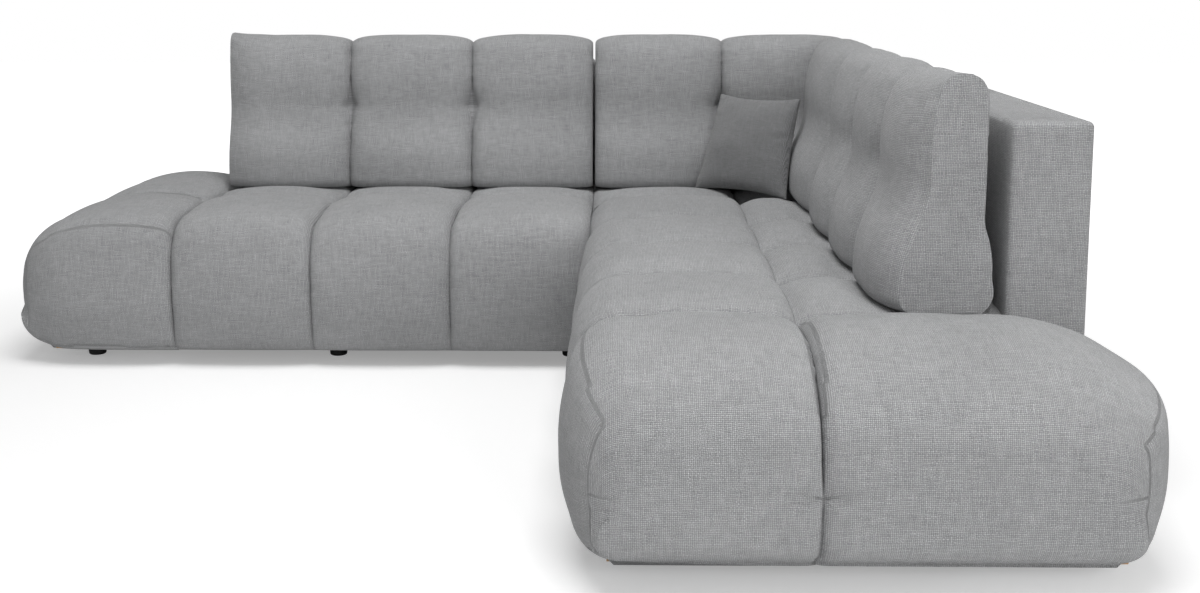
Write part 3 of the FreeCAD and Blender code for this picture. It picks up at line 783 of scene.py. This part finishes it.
@dataclass(frozen=True)
class OpenEnd:
    """One half of a module's rounded open end, in front of or behind the row seam."""

    name: str
    run: Run
    half: EndHalf
    spacing: float = 9.0
    rings: int = 58
    seam_part: float = 0.12
    seam_rings: int = 12
    fill_power: float = 2.6
    centre_z: float = 190.0
    panel_puff: float = 7.0
    panel_steps: tuple[float, ...] = (0.12, 0.28, 0.5, 0.75, 1.0)
    panel_close: float = 0.985
    row_offsets: tuple[float, ...] = (0.0, 10.0, 20.0, 40.0, 90.0)
    row_overlap: float = 6.0
    row_sink: float = 22.0
    row_reach: float = 9.0
    sink_from: float = 200.0
    face_from: float = 60.0
    blend: float = 60.0
    board_cover: float = 16.0
    least_at_floor: float = 0.93
    swell: float = 2.0
    swell_size: float = 0.16

    def outline(self, drop: float, groove: float) -> list:
        """Outline of the half where it is full."""
        shape = SHAPE.front_top if self.half is EndHalf.FRONT else SHAPE.outer_back
        return shape(drop, groove)

    def keep(self, along: float, length: float, power: float, least: float) -> float:
        """Share of the outline that is left at a place along the end."""
        share = max(0.0, along - SHAPE.end_channel + length) / length
        return mix(least, 1.0, math.sqrt(max(0.0, 1 - share ** power)))

    def ring(self, along: float, counts: Sequence[int]) -> np.ndarray:
        """Outline of the half at a place along the end.

        Args:
            along: Distance from the last cross seam.
            counts: Points of each step.

        Returns:
            Depths and heights.
        """
        full = fullness(min(along, SHAPE.end_fill) / SHAPE.end_fill / 2, self.fill_power) \
            - pulled_in(along)
        line = smooth_line(trace(self.outline(SHAPE.seam_drop * (1 - full),
                                              SHAPE.seam_groove * (1 - full)), counts))
        top = self.keep(along, SHAPE.end_round, 2.2, SHAPE.end_top_keep)
        low = self.keep(along, SHAPE.end_round_low, 3.0, SHAPE.end_low_keep)
        side = self.keep(along, SHAPE.end_round_side, 2.8, SHAPE.end_side_keep)
        z = np.where(line[:, 1] > self.centre_z,
                     self.centre_z + (line[:, 1] - self.centre_z) * top,
                     self.centre_z + (line[:, 1] - self.centre_z) * low)
        near_floor = np.clip((150 - line[:, 1]) / 110, 0, 1)
        side = mix(side, max(side, self.least_at_floor), near_floor)
        depth = SHAPE.row_depth + (line[:, 0] - SHAPE.row_depth) * side
        if along < SHAPE.end_channel - SHAPE.core_inset + self.board_cover:
            z = np.where(line[:, 1] < SHAPE.base_z + 0.5, SHAPE.base_z - 1.5, z)
        return np.stack([depth, z], axis=-1)

    def build(self) -> bpy.types.Object:
        """Builds the half: its sides, the rounding and the panel of its end face.

        Returns:
            The object.
        """
        counts = step_counts(self.outline(0.0, 0.0), self.spacing)
        share = 1 - (1 - np.linspace(0, 1, self.rings)) ** 2.0
        share = np.concatenate([np.linspace(0, self.seam_part, self.seam_rings)[:-1],
                                share[share > self.seam_part]])
        along = SHAPE.end_channel * share
        skin = np.array([self.ring(a, counts) for a in along])
        side, row = self.half.value, SHAPE.row_depth
        low = skin[:, -1 if side > 0 else 0, 1]
        offsets = row + side * np.array(self.row_offsets)[::-side]
        inner = np.stack([np.broadcast_to(offsets, (len(low), len(offsets))),
                          np.repeat(low[:, None], len(offsets), axis=1)], axis=-1)
        points = np.concatenate([skin, inner], axis=1)
        flat = points[-1]
        spine = np.stack([mix(flat[:, 0], row, self.panel_close),
                          mix(flat[:, 1], self.centre_z, self.panel_close)], -1)
        panel = [mix(flat, spine, step) for step in self.panel_steps]
        puffs = [self.panel_puff * math.sin(step * math.pi / 2)
                 for step in self.panel_steps]
        points = np.concatenate([points, np.array(panel)])
        places = np.concatenate([along, SHAPE.end_channel + np.array(puffs)])
        groove = np.exp(-np.abs(points[..., 0] - row) / self.row_reach) \
            * np.clip((points[..., 1] - 40) / 40, 0.3, 1)
        sunk = places[:, None] - self.row_sink * groove * self.reached(places, self.sink_from)
        points[..., 0] = np.where(side * (points[..., 0] - row) < 0,
                                  row + side * self.row_overlap, points[..., 0])
        grid = self.run.at(-sunk, points[..., 0], points[..., 1])
        calm = np.clip(np.abs(points[..., 0] - row) / 20, 0, 1) \
            * np.clip(places / 12, 0, 1)[:, None] * np.clip((points[..., 1] - 42) / 20, 0, 1)
        lift = uneven(grid, self.swell_size, 2.0 + side) * self.swell * MM
        u, v = self.fabric(points, places, along, skin)
        return close_mesh(self.name, grid + outward(grid) * (lift * calm)[..., None], u, v)

    def reached(self, places: np.ndarray, before: float) -> np.ndarray:
        """How far each ring is into the zone that starts before the end, from 0 to 1."""
        return np.clip((places - SHAPE.end_channel + before) / self.blend, 0, 1)[:, None]

    def fabric(self, points: np.ndarray, places: np.ndarray, along: np.ndarray,
               skin: np.ndarray) -> tuple[np.ndarray, np.ndarray]:
        """Lays the weave over the top, down the side and down the end face.

        Args:
            points: Depth and height of each point of the rings.
            places: Where each ring is, from the last cross seam.
            along: The same for the rings of the skin alone.
            skin: The skin's rings.

        Returns:
            Both fabric coordinates, in metres, with the column that closes the rings.
        """
        crest = int(np.argmax(skin[0, :, 1]))
        path = lengths(np.stack([along, skin[:, crest, 1]], -1))
        u_along = np.concatenate([path, path[-1] + np.zeros(len(self.panel_steps))])
        side_face = self.reached(places, self.face_from)
        face = np.where(points[..., 1] < self.centre_z, 1.0, side_face)
        hanging = path[-1] - (SHAPE.crown_z - skin[-1, crest, 1]) \
            + (SHAPE.crown_z - points[..., 1])
        u = (u_along[:, None] * (1 - face) + hanging * face) * MM
        upright = np.abs(np.gradient(points[..., 1], axis=1)) \
            > np.abs(np.gradient(points[..., 0], axis=1))
        upright = upright & (side_face < 0.5)
        v = np.where(upright, (lengths(points[20]) * MM)[None, :], points[..., 0] * MM)
        u = np.where(upright, places[:, None] * MM, u)
        return (np.concatenate([u, u[:, :1]], axis=1),
                np.concatenate([v, v[:, :1]], axis=1))


@dataclass(frozen=True)
class CushionShape:
    """Back cushion's outlines across its channels, in millimetres."""

    foot: float = 682.0
    low: float = 422.3
    top: float = 902.0
    seam_top: float = 880.0
    panel_top: float = 906.0
    puff: float = 56.0
    back: float = 12.0
    waist: float = 680.0

    def outline(self, full: float, panel: bool = False) -> list:
        """Outline of a seam (0) to that of a channel's middle (1)."""
        foot, low, waist = self.foot, self.low, self.waist
        top = self.panel_top if panel else self.seam_top
        seam = [
            [foot + 18, low],
            [[foot + 4, low + 7], [foot, low + 28]],
            [[foot + 8, low + 103], [foot + 30, low + 168]],
            [[foot + 48, waist - 40], [foot + 56, waist + 10]],
            [[foot + 57, waist + 112], [foot + 71, top - 27]],
            [[foot + 87, top - 5], [foot + 117, top]],
            [[foot + 147, top - 9], [foot + 161, top - 34]],
            [[foot + 164, waist + 60], [foot + 163, low + 180]],
            [[foot + 180, low + 122], [foot + 181, low + 68]],
            [[foot + 179, low + 14], [foot + 164, low]],
        ]
        puff, back, crown_top = self.puff, self.back, self.top
        crown = [
            [foot + 26 - puff, low],
            [[foot + 6 - puff, low + 9], [foot - puff, low + 40]],
            [[foot + 4 - puff, low + 108], [foot + 25 - puff, low + 168]],
            [[foot + 44 - puff, waist - 40], [foot + 52 - puff, waist + 10]],
            [[foot + 58 - puff, waist + 112], [foot + 78 - puff, crown_top - 44]],
            [[foot + 52, crown_top - 12], [foot + 108, crown_top]],
            [[foot + 140 + back, crown_top - 11], [foot + 160 + back, crown_top - 42]],
            [[foot + 163 + back, waist + 60], [foot + 162 + back, low + 180]],
            [[foot + 178 + back, low + 122], [foot + 180 + back, low + 68]],
            [[foot + 178 + back, low + 14], [foot + 158 + back, low]],
        ]
        return mix(seam, crown, full)


CUSHION = CushionShape()


@dataclass(frozen=True)
class BackCushion:
    """Loose back cushion of sewn channels with a tuft on each inner seam."""

    name: str
    run: Run
    start: float
    widths: tuple[float, ...]
    panel: bool
    spacing: float = 9.0
    across: int = 44
    fill_power: float = 3.0
    panel_round: float = 1.0
    channel_round: float = 1.7
    seam_pull: float = 0.22
    swell: float = 2.6
    ripple: float = 1.2
    pucker: float = 2.6
    pucker_reach: float = 20.0
    folds: SeamFolds = SeamFolds(15.0, 7.0, 0.3, 2.0, 0.7)
    tuft_depth: float = 13.0
    tuft_reach: float = 46.0
    tuft_zone: float = 30.0
    crease_depth: float = 3.2
    crease_width: float = 5.0
    crease_reach: float = 38.0

    def build(self) -> bpy.types.Object:
        """Builds the cushion's mesh with its seams, tufts, creases and end panel.

        Returns:
            The object.
        """
        counts = step_counts(CUSHION.outline(1.0), self.spacing)
        rings, places, seams, start = [], [], [], self.start
        for number, width in enumerate(self.widths):
            shares = seam_shares(self.across)[(1 if number else 0):]
            for share in shares:
                flat = self.panel and number == 0 and share < 0.5
                full = fullness(share, self.fill_power,
                                self.panel_round if flat else self.channel_round)
                if not flat:
                    full -= pulled_in(min(share, 1 - share) * width, self.seam_pull)
                rings.append(smooth_line(trace(CUSHION.outline(full, flat), counts)))
                places.append(start + width * share)
            start += width
            seams.append(start)
        skin, along = np.array(rings), np.array(places)
        grid = self.run.at(along[:, None], skin[..., 0], skin[..., 1])
        path = lengths(skin[self.across // 2])
        edges = np.array([self.start] + seams)
        reach = np.abs(along[:, None] - edges[None, :]).min(axis=1)[:, None]
        fold = self.folds.along(path, self.start)
        lift = self.swell * uneven(grid, 0.17, self.start * 0.01 + 5) \
            + self.ripple * uneven(grid, 0.06, self.start * 0.02 + 9)
        lift = lift + self.pucker * fold[None, :] * np.exp(-reach / self.pucker_reach)
        calm = np.minimum(1.0, reach / 4.0) + 0.0 * lift
        for seam in seams[:-1]:
            lift = lift - self.tuft(along[:, None] - seam, along[:, None],
                                    skin[..., 1] - CUSHION.waist)
            calm = np.where(np.abs(along[:, None] - seam) < self.tuft_zone, 1.0, calm)
        rest = np.clip((skin[..., 1] - CUSHION.low) / 25.0, 0, 1)
        grid = grid + outward(grid) * (lift * calm * rest * MM)[..., None]
        return close_mesh(self.name, grid,
                          *rolled_out(along, np.append(path, path[-1] + 40.0)), 38.0)

    def tuft(self, off: np.ndarray, along: np.ndarray, above: np.ndarray) -> np.ndarray:
        """Depth of a tuft and of the crease that runs out of it to both sides.

        Args:
            off: Distance from the tuft's seam.
            along: Place along the cushion.
            above: Height above the tuft.

        Returns:
            The depths, in millimetres.
        """
        far = np.hypot(off, above * 1.3)
        crease = np.exp(-((above - 3 * np.sin(along / 21)) / self.crease_width) ** 2)
        return self.tuft_depth * np.exp(-(far / self.tuft_reach) ** 1.4) \
            + self.crease_depth * crease * np.exp(-np.abs(off) / self.crease_reach)


@dataclass(frozen=True)
class BackBox:
    """Covered box back: rounded edges, a little foam under flat sides."""

    node: str
    round_off: float = 13.0
    puff: float = 2.5
    step: float = 16.0
    corner_points: int = 6
    lid_steps: tuple[float, ...] = (0.25, 0.5, 0.75, 0.985)

    def levels(self, low: np.ndarray, high: np.ndarray) -> list[Point]:
        """Heights of the rings and how far each is drawn in: sides, edge and lid."""
        shoulder = high[2] - self.round_off
        sides = np.linspace(low[2], shoulder, max(3, int((high[2] - low[2]) / self.step)))
        turns = np.linspace(0, math.pi / 2, self.corner_points + 1)[1:]
        reach = min(high[0] - low[0], high[1] - low[1]) / 2 - self.round_off
        return [(z, 0.0) for z in sides] \
            + [(shoulder + self.round_off * math.sin(a), self.round_off * (1 - math.cos(a)))
               for a in turns] \
            + [(high[2] + self.puff * math.sin(step * math.pi / 2),
                self.round_off + reach * step) for step in self.lid_steps]

    def build(self) -> bpy.types.Object:
        """Builds the cover over the CAD cover's box.

        Returns:
            The object.
        """
        low, high = node_box(self.node)
        grid = np.array([[(x, y, z) for x, y in self.rectangle(low, high, inset)]
                         for z, inset in self.levels(low, high)])
        centre, half = (low + high) / 2, (high - low) / 2
        share = np.clip(1 - ((grid - centre) / half) ** 2, 0, 1)
        for axis, other in ((0, 1), (1, 0)):
            off = grid[..., axis] - centre[axis]
            grid[..., axis] += np.sign(off) * (np.abs(off) > half[axis] - 1) \
                * share[..., 2] * share[..., other] * self.puff
        around = lengths(grid[2])
        up = lengths(grid[:, grid.shape[1] // 8])
        u = np.repeat(np.append(around, around[-1] + 10.0)[None, :], len(grid), axis=0) * MM
        v = np.repeat(up[:, None], u.shape[1], axis=1) * MM
        return close_mesh(self.node + "_upholstery", grid * MM, u, v, 40.0)

    def rectangle(self, low: np.ndarray, high: np.ndarray, inset: float) -> list[Point]:
        """Rounded rectangle, drawn in by an inset, with evenly split sides."""
        r = max(self.round_off - inset, 1.0)
        x0, y0, x1, y1 = low[0] + inset, low[1] + inset, high[0] - inset, high[1] - inset
        middle = ((x1 - r, y1 - r, 0), (x0 + r, y1 - r, 90), (x0 + r, y0 + r, 180),
                  (x1 - r, y0 + r, 270))
        splits = [max(2, int((high[0] - low[0]) / self.step)),
                  max(2, int((high[1] - low[1]) / self.step))] * 2
        points: list[Point] = []
        for (cx, cy, first), following, split in zip(middle, middle[1:] + middle[:1],
                                                     splits):
            for degree in np.linspace(first, first + 90, self.corner_points):
                a = math.radians(degree)
                points.append((cx + r * math.cos(a), cy + r * math.sin(a)))
            a = math.radians(first + 90)
            end = (following[0] + r * math.cos(a), following[1] + r * math.sin(a))
            begin = points[-1]
            points += [(begin[0] + (end[0] - begin[0]) * k / split,
                        begin[1] + (end[1] - begin[1]) * k / split)
                       for k in range(1, split)]
        return points


@dataclass(frozen=True)
class ThrowPillow:
    """Knife-edged pillow that leans in the corner."""

    width: float = 322.0
    height: float = 310.0
    thick: float = 112.0
    taper: float = 0.075
    sag: float = 14.0
    turn: float = 41.0
    lean: float = 19.0
    split: int = 72
    fill_power: float = 0.42
    softness: float = 0.07
    pucker: float = 8.0
    pucker_size: float = 9.0
    pucker_reach: float = 0.2
    pucker_calm: float = 14.0
    back_fill: float = 0.92
    least_half: float = 1.2

    def build(self) -> bpy.types.Object:
        """Builds the pillow: two panels, puckered edges and pinched corners.

        Returns:
            The object.
        """
        n = self.split
        side = np.sin(np.linspace(-1, 1, n) * math.pi / 2)
        s, t = np.meshgrid(side, side, indexing="ij")
        drawn_s = s * (1 - 2 * self.sag / self.width * (1 - t ** 2) * np.abs(s) ** 2)
        drawn_t = t * (1 - 2 * self.sag / self.height * (1 - s ** 2) * np.abs(t) ** 2)
        x = drawn_s * self.width / 2 * (1 - self.taper * t)
        z = drawn_t * self.height / 2
        full = ((1 - s ** 2) * (1 - t ** 2)) ** self.fill_power
        flat = np.stack([x, 0 * x, z], -1) * MM
        edge = np.maximum(np.abs(s), np.abs(t))
        where = np.where(np.abs(s) > np.abs(t), t, s)
        pucker = np.vectorize(lambda w, e: noise.noise(Vector((
            w * self.pucker_size, e, 0.0))))(where, np.sign(s + 0.3 * t))
        soft = uneven(flat, 0.07, 3.0)
        half = self.thick / 2 * full * (1 + self.softness * soft) \
            + self.pucker * pucker * np.exp(-((1 - edge) / self.pucker_reach)) \
            * np.minimum(1, (1 - edge) * self.pucker_calm)
        half = np.maximum(half, self.least_half * (1 - edge ** 20))
        front = np.stack([x, -half, z], -1)
        back = np.stack([x, half * self.back_fill, z], -1)
        points = np.concatenate([front.reshape(-1, 3), back.reshape(-1, 3)]) * MM
        quads, uvs = [], []
        for sheet in (0, 1):
            for i in range(n - 1):
                for j in range(n - 1):
                    ring = [(i, j), (i + 1, j), (i + 1, j + 1), (i, j + 1)]
                    if sheet:
                        ring = ring[::-1]
                    quads.append([sheet * n * n + a * n + b for a, b in ring])
                    uvs += [(x[a, b] * MM, z[a, b] * MM) for a, b in ring]
        mesh = bpy.data.meshes.new("throw_pillow_cover")
        mesh.from_pydata(points.tolist(), [], quads)
        layer = mesh.uv_layers.new(name="fabric")
        layer.data.foreach_set("uv", np.array(uvs, dtype=np.float32).ravel())
        piece = into_scene("throw_pillow_cover", mesh, merge=2e-5, sliver=0.0)
        self.place(mesh)
        return piece

    def place(self, mesh: bpy.types.Mesh) -> None:
        """Turns and leans the mesh, and sets it into the CAD pillow's box."""
        tilt = Matrix.Rotation(math.radians(-self.turn), 4, "Z") \
            @ Matrix.Rotation(math.radians(-self.lean), 4, "X")
        mesh.transform(tilt)
        corners = np.array([vertex.co[:] for vertex in mesh.vertices])
        low, high = node_box("throw_pillow")
        centre = (corners.min(axis=0) + corners.max(axis=0)) / 2
        target = (low + high) / 2 * MM
        shift = Vector(target - centre)
        shift.z = low[2] * MM - corners[:, 2].min()
        mesh.transform(Matrix.Translation(shift))


@dataclass(frozen=True)
class Sofa:
    """The whole upholstery, placed by the frame."""

    dresser: Dresser
    channel: float = 390.0

    def runs(self) -> dict[str, Run]:
        """Directions of both modules, from their first front pads."""
        left_low, _ = node_box("left_front_pad_1")
        right_low, _ = node_box("right_front_pad_1")
        return {
            "left": Run((left_low[0], left_low[1]), (1, 0), (0, 1)),
            "right": Run((right_low[0], right_low[1]), (0, 1), (1, 0)),
        }

    def seat(self, runs: dict[str, Run]) -> None:
        """Builds the channels and the open ends of both modules."""
        front_inner = ((SHAPE.row_depth, SHAPE.core_z), (SHAPE.core_inset, SHAPE.core_z),
                       (SHAPE.core_inset, SHAPE.base_z))
        back_inner = ((SHAPE.back_inner, SHAPE.core_z), (SHAPE.row_depth, SHAPE.core_z))
        for module, count in (("left", 3), ("right", 4)):
            run = runs[module]
            for number in range(1, count + 1):
                for row in ("front", "back"):
                    node = f"{module}_{row}_pad_{number}"
                    start, width = self.span(run, node)
                    if row == "front":
                        line, inner = SHAPE.front_top, front_inner
                    else:
                        line, inner = self.back_line(SHAPE.back_crown_z), back_inner
                    piece = Channel(node.replace("pad", "channel"), run, start, width,
                                    line, inner).build()
                    self.dresser.dress(piece, Slot.SOFA, Body.SEAT, [node], 0.8)
            for half in EndHalf:
                node = f"{module}_{half.name.lower()}_end_pad"
                piece = OpenEnd(node.replace("pad", "cover"), run, half).build()
                self.dresser.dress(piece, Slot.SOFA, Body.SEAT, [node], 0.8)
        for part, crown in (("front", SHAPE.back_crown_z), ("back", SHAPE.corner_crown_z)):
            node = f"right_corner_{part}_pad"
            start, width = self.span(runs["left"], node)
            piece = Channel(f"right_corner_{part}_channel", runs["left"], start, width,
                            self.back_line(crown), back_inner).build()
            self.dresser.dress(piece, Slot.SOFA, Body.SEAT, [node], 0.8)

    @staticmethod
    def back_line(crown: float) -> Callable[[float, float], list]:
        """Outline of a back row with its own crown height."""
        return lambda drop, groove: SHAPE.back_top(drop, crown)

    @staticmethod
    def span(run: Run, node: str) -> tuple[float, float]:
        """Where a pad starts along its run, and how wide it is."""
        low, high = node_box(node)
        axis = 0 if run.u[0] else 1
        return low[axis] - run.origin[axis], high[axis] - low[axis]

    def cushions(self, runs: dict[str, Run]) -> None:
        """Builds the back cushions."""
        for name, body in (("left", Body.LEFT_CUSHION), ("right", Body.RIGHT_CUSHION)):
            start, width = self.span(runs[name], f"{name}_cushion")
            side = (width - self.channel) / 2
            piece = BackCushion(f"{name}_cushion_cover", runs[name], start,
                                (side, self.channel, side), True).build()
            self.dresser.dress(piece, Slot.SOFA, body, [f"{name}_cushion"], 0.75)
        start, width = self.span(runs["left"], "corner_cushion_rear")
        piece = BackCushion("corner_cushion_rear_cover", runs["left"], start,
                            (width / 2, width / 2), False).build()
        self.dresser.dress(piece, Slot.SOFA, Body.CORNER_CUSHION,
                           ["corner_cushion_rear"], 0.75)
        self.dresser.dress(self.folded(runs), Slot.SOFA, Body.CORNER_CUSHION,
                           ["corner_cushion_side"], 0.75)

    def folded(self, runs: dict[str, Run], fold: float = 44.0, slope: float = 0.182,
               fold_gap: float = 14.0) -> bpy.types.Object:
        """Builds the corner cushion's third channel, cut off along its fold.

        Args:
            runs: Directions of both modules.
            fold: Part of the channel that is folded away.
            slope: Lean of the fold.
            fold_gap: Distance to the foremost point of the rear part.

        Returns:
            The object.
        """
        run = runs["right"]
        start, _ = self.span(run, "corner_cushion_side")
        face = runs["left"].origin[1] - run.origin[1] + CUSHION.foot - CUSHION.puff
        piece = BackCushion("corner_cushion_side_cover", run, start,
                            (face - start + CUSHION.puff + fold,), False).build()
        work = bmesh.new()
        work.from_mesh(piece.data)
        normal = Vector((0, 1, -slope)).normalized()
        point = Vector((0, (run.origin[1] + face - fold_gap
                            - SHAPE.seat_z * slope) * MM, 0))
        cut = bmesh.ops.bisect_plane(work, geom=work.verts[:] + work.edges[:] + work.faces[:],
                                     plane_co=point, plane_no=normal, clear_outer=True)
        rim = [item for item in cut["geom_cut"] if isinstance(item, bmesh.types.BMEdge)]
        bmesh.ops.contextual_create(work, geom=rim)
        bmesh.ops.recalc_face_normals(work, faces=work.faces)
        work.to_mesh(piece.data)
        work.free()
        return piece

    def backs(self) -> None:
        """Builds the covers of the box backs."""
        for name in ("left", "rear", "side"):
            node = f"{name}_back_cover"
            self.dresser.dress(BackBox(node).build(), Slot.SOFA, Body.SEAT, [node], 0.9)

    def pillow(self) -> None:
        """Builds the throw pillow."""
        self.dresser.dress(ThrowPillow().build(), Slot.PILLOW, Body.PILLOW,
                           ["throw_pillow"], 0.6)


def dress_frame(materials: dict[Slot, bpy.types.Material]) -> None:
    """Gives the CAD nodes that stay their own finish, by the record's slots."""
    slots = {part["node"]: part["material_slot"] for part in frame["record"]["subparts"]}
    for name, node in frame["nodes"].items():
        for slot in node.material_slots:
            slot.material = materials[Slot(slots[name])]


@dataclass(frozen=True)
class Studio:
    """Floor, lights, world and camera."""

    world_strength: float = 0.25
    key_place: tuple[float, float, float] = (0.2, -1.2, 4.6)
    key_size: float = 2.6
    key_energy: float = 150.0
    fill_place: tuple[float, float, float] = (2.2, -4.6, 1.6)
    fill_size: float = 1.8
    fill_energy: float = 70.0
    lit_point: tuple[float, float, float] = (0.2, 0.0, 0.4)
    near_glow: float = 0.3
    far_glow: float = 0.95
    glow_from: float = 1.5
    glow_to: float = 3.6
    floor_half: float = 14.0
    camera_place: tuple[float, float, float] = (0.3451, -3.8447, 1.1102)
    camera_pitch: float = 81.662
    camera_turn: float = 0.0147
    lens: float = 44.877
    shift: float = -0.09

    def build(self) -> None:
        """Sets up everything round the sofa."""
        scene = bpy.context.scene
        scene.view_settings.view_transform = "Standard"
        self.world(scene)
        self.floor()
        self.lamp("key", self.key_place, self.key_size, self.key_energy)
        self.lamp("fill", self.fill_place, self.fill_size, self.fill_energy)
        self.camera(scene)

    def world(self, scene: bpy.types.Scene) -> None:
        """Makes a pale world that the camera and reflections see as white."""
        world = bpy.data.worlds.new("studio_world")
        scene.world = world
        world.use_nodes = True
        nodes = Nodes(world.node_tree)
        path = nodes.add("ShaderNodeLightPath")
        seen = nodes.math("MAXIMUM", path.outputs["Is Camera Ray"], nodes.math(
            "MAXIMUM", path.outputs["Is Glossy Ray"], path.outputs["Is Transmission Ray"]))
        strength = nodes.math("MULTIPLY_ADD", seen, 1.0 - self.world_strength,
                              self.world_strength)
        shader = nodes.add("ShaderNodeBackground")
        nodes.feed(shader.inputs["Strength"], strength)
        shader.inputs["Color"].default_value = (1.0, 1.0, 1.0, 1.0)
        out = nodes.add("ShaderNodeOutputWorld")
        nodes.feed(out.inputs["Surface"], shader.outputs[0])

    def floor(self) -> None:
        """Makes a pale floor that looks white where no shadow falls."""
        half = self.floor_half
        mesh = bpy.data.meshes.new("floor")
        mesh.from_pydata([(-half, -half, 0), (half, -half, 0), (half, half, 0),
                          (-half, half, 0)], [], [(0, 1, 2, 3)])
        floor = bpy.data.objects.new("floor", mesh)
        bpy.context.scene.collection.objects.link(floor)
        material, nodes, shader = start_material("pale_floor", 1.0)
        shader.inputs["Base Color"].default_value = (0.8, 0.8, 0.8, 1.0)
        shader.inputs["Specular IOR Level"].default_value = 0.0
        shader.inputs["Emission Color"].default_value = (1.0, 1.0, 1.0, 1.0)
        path = nodes.add("ShaderNodeLightPath")
        where = nodes.add("ShaderNodeTexCoord")
        length = nodes.add("ShaderNodeVectorMath", operation="LENGTH")
        nodes.feed(length.inputs[0], where.outputs["Object"])
        glow = nodes.add("ShaderNodeMapRange")
        nodes.feed(glow.inputs["Value"], length.outputs["Value"])
        for label, value in (("From Min", self.glow_from), ("From Max", self.glow_to),
                             ("To Min", self.near_glow), ("To Max", self.far_glow)):
            glow.inputs[label].default_value = value
        nodes.feed(shader.inputs["Emission Strength"], nodes.math(
            "MULTIPLY", path.outputs["Is Camera Ray"], glow.outputs["Result"]))
        mesh.materials.append(material)

    def lamp(self, name: str, place: tuple[float, float, float], size: float,
             energy: float) -> None:
        """Adds a soft area lamp that points at the middle of the sofa."""
        light = bpy.data.lights.new(name, "AREA")
        light.energy, light.size = energy, size
        lamp = bpy.data.objects.new(name, light)
        lamp.location = place
        aim = Vector(self.lit_point) - Vector(place)
        lamp.rotation_euler = aim.to_track_quat("-Z", "Y").to_euler()
        bpy.context.scene.collection.objects.link(lamp)

    def camera(self, scene: bpy.types.Scene) -> None:
        """Sets the camera at the photograph's place, pitched instead of widely shifted."""
        data = bpy.data.cameras.new("camera")
        data.sensor_width = 36.0
        data.lens = self.lens
        data.shift_y = self.shift
        camera = bpy.data.objects.new("camera", data)
        camera.location = self.camera_place
        camera.rotation_euler = (math.radians(self.camera_pitch), 0.0, self.camera_turn)
        scene.collection.objects.link(camera)
        scene.camera = camera


def main() -> None:
    """Builds the studio, the finishes and the upholstery."""
    logging.basicConfig(level=logging.INFO, format="%(message)s")
    Studio().build()
    groups = Groups(weave_group(), grain_group(), wear_group())
    materials = {slot: finish.build(groups) for slot, finish in FINISHES.items()}
    dress_frame(materials)
    sofa = Sofa(Dresser(materials))
    runs = sofa.runs()
    sofa.seat(runs)
    sofa.cushions(runs)
    sofa.backs()
    sofa.pillow()


if __name__ == "__main__":
    main()
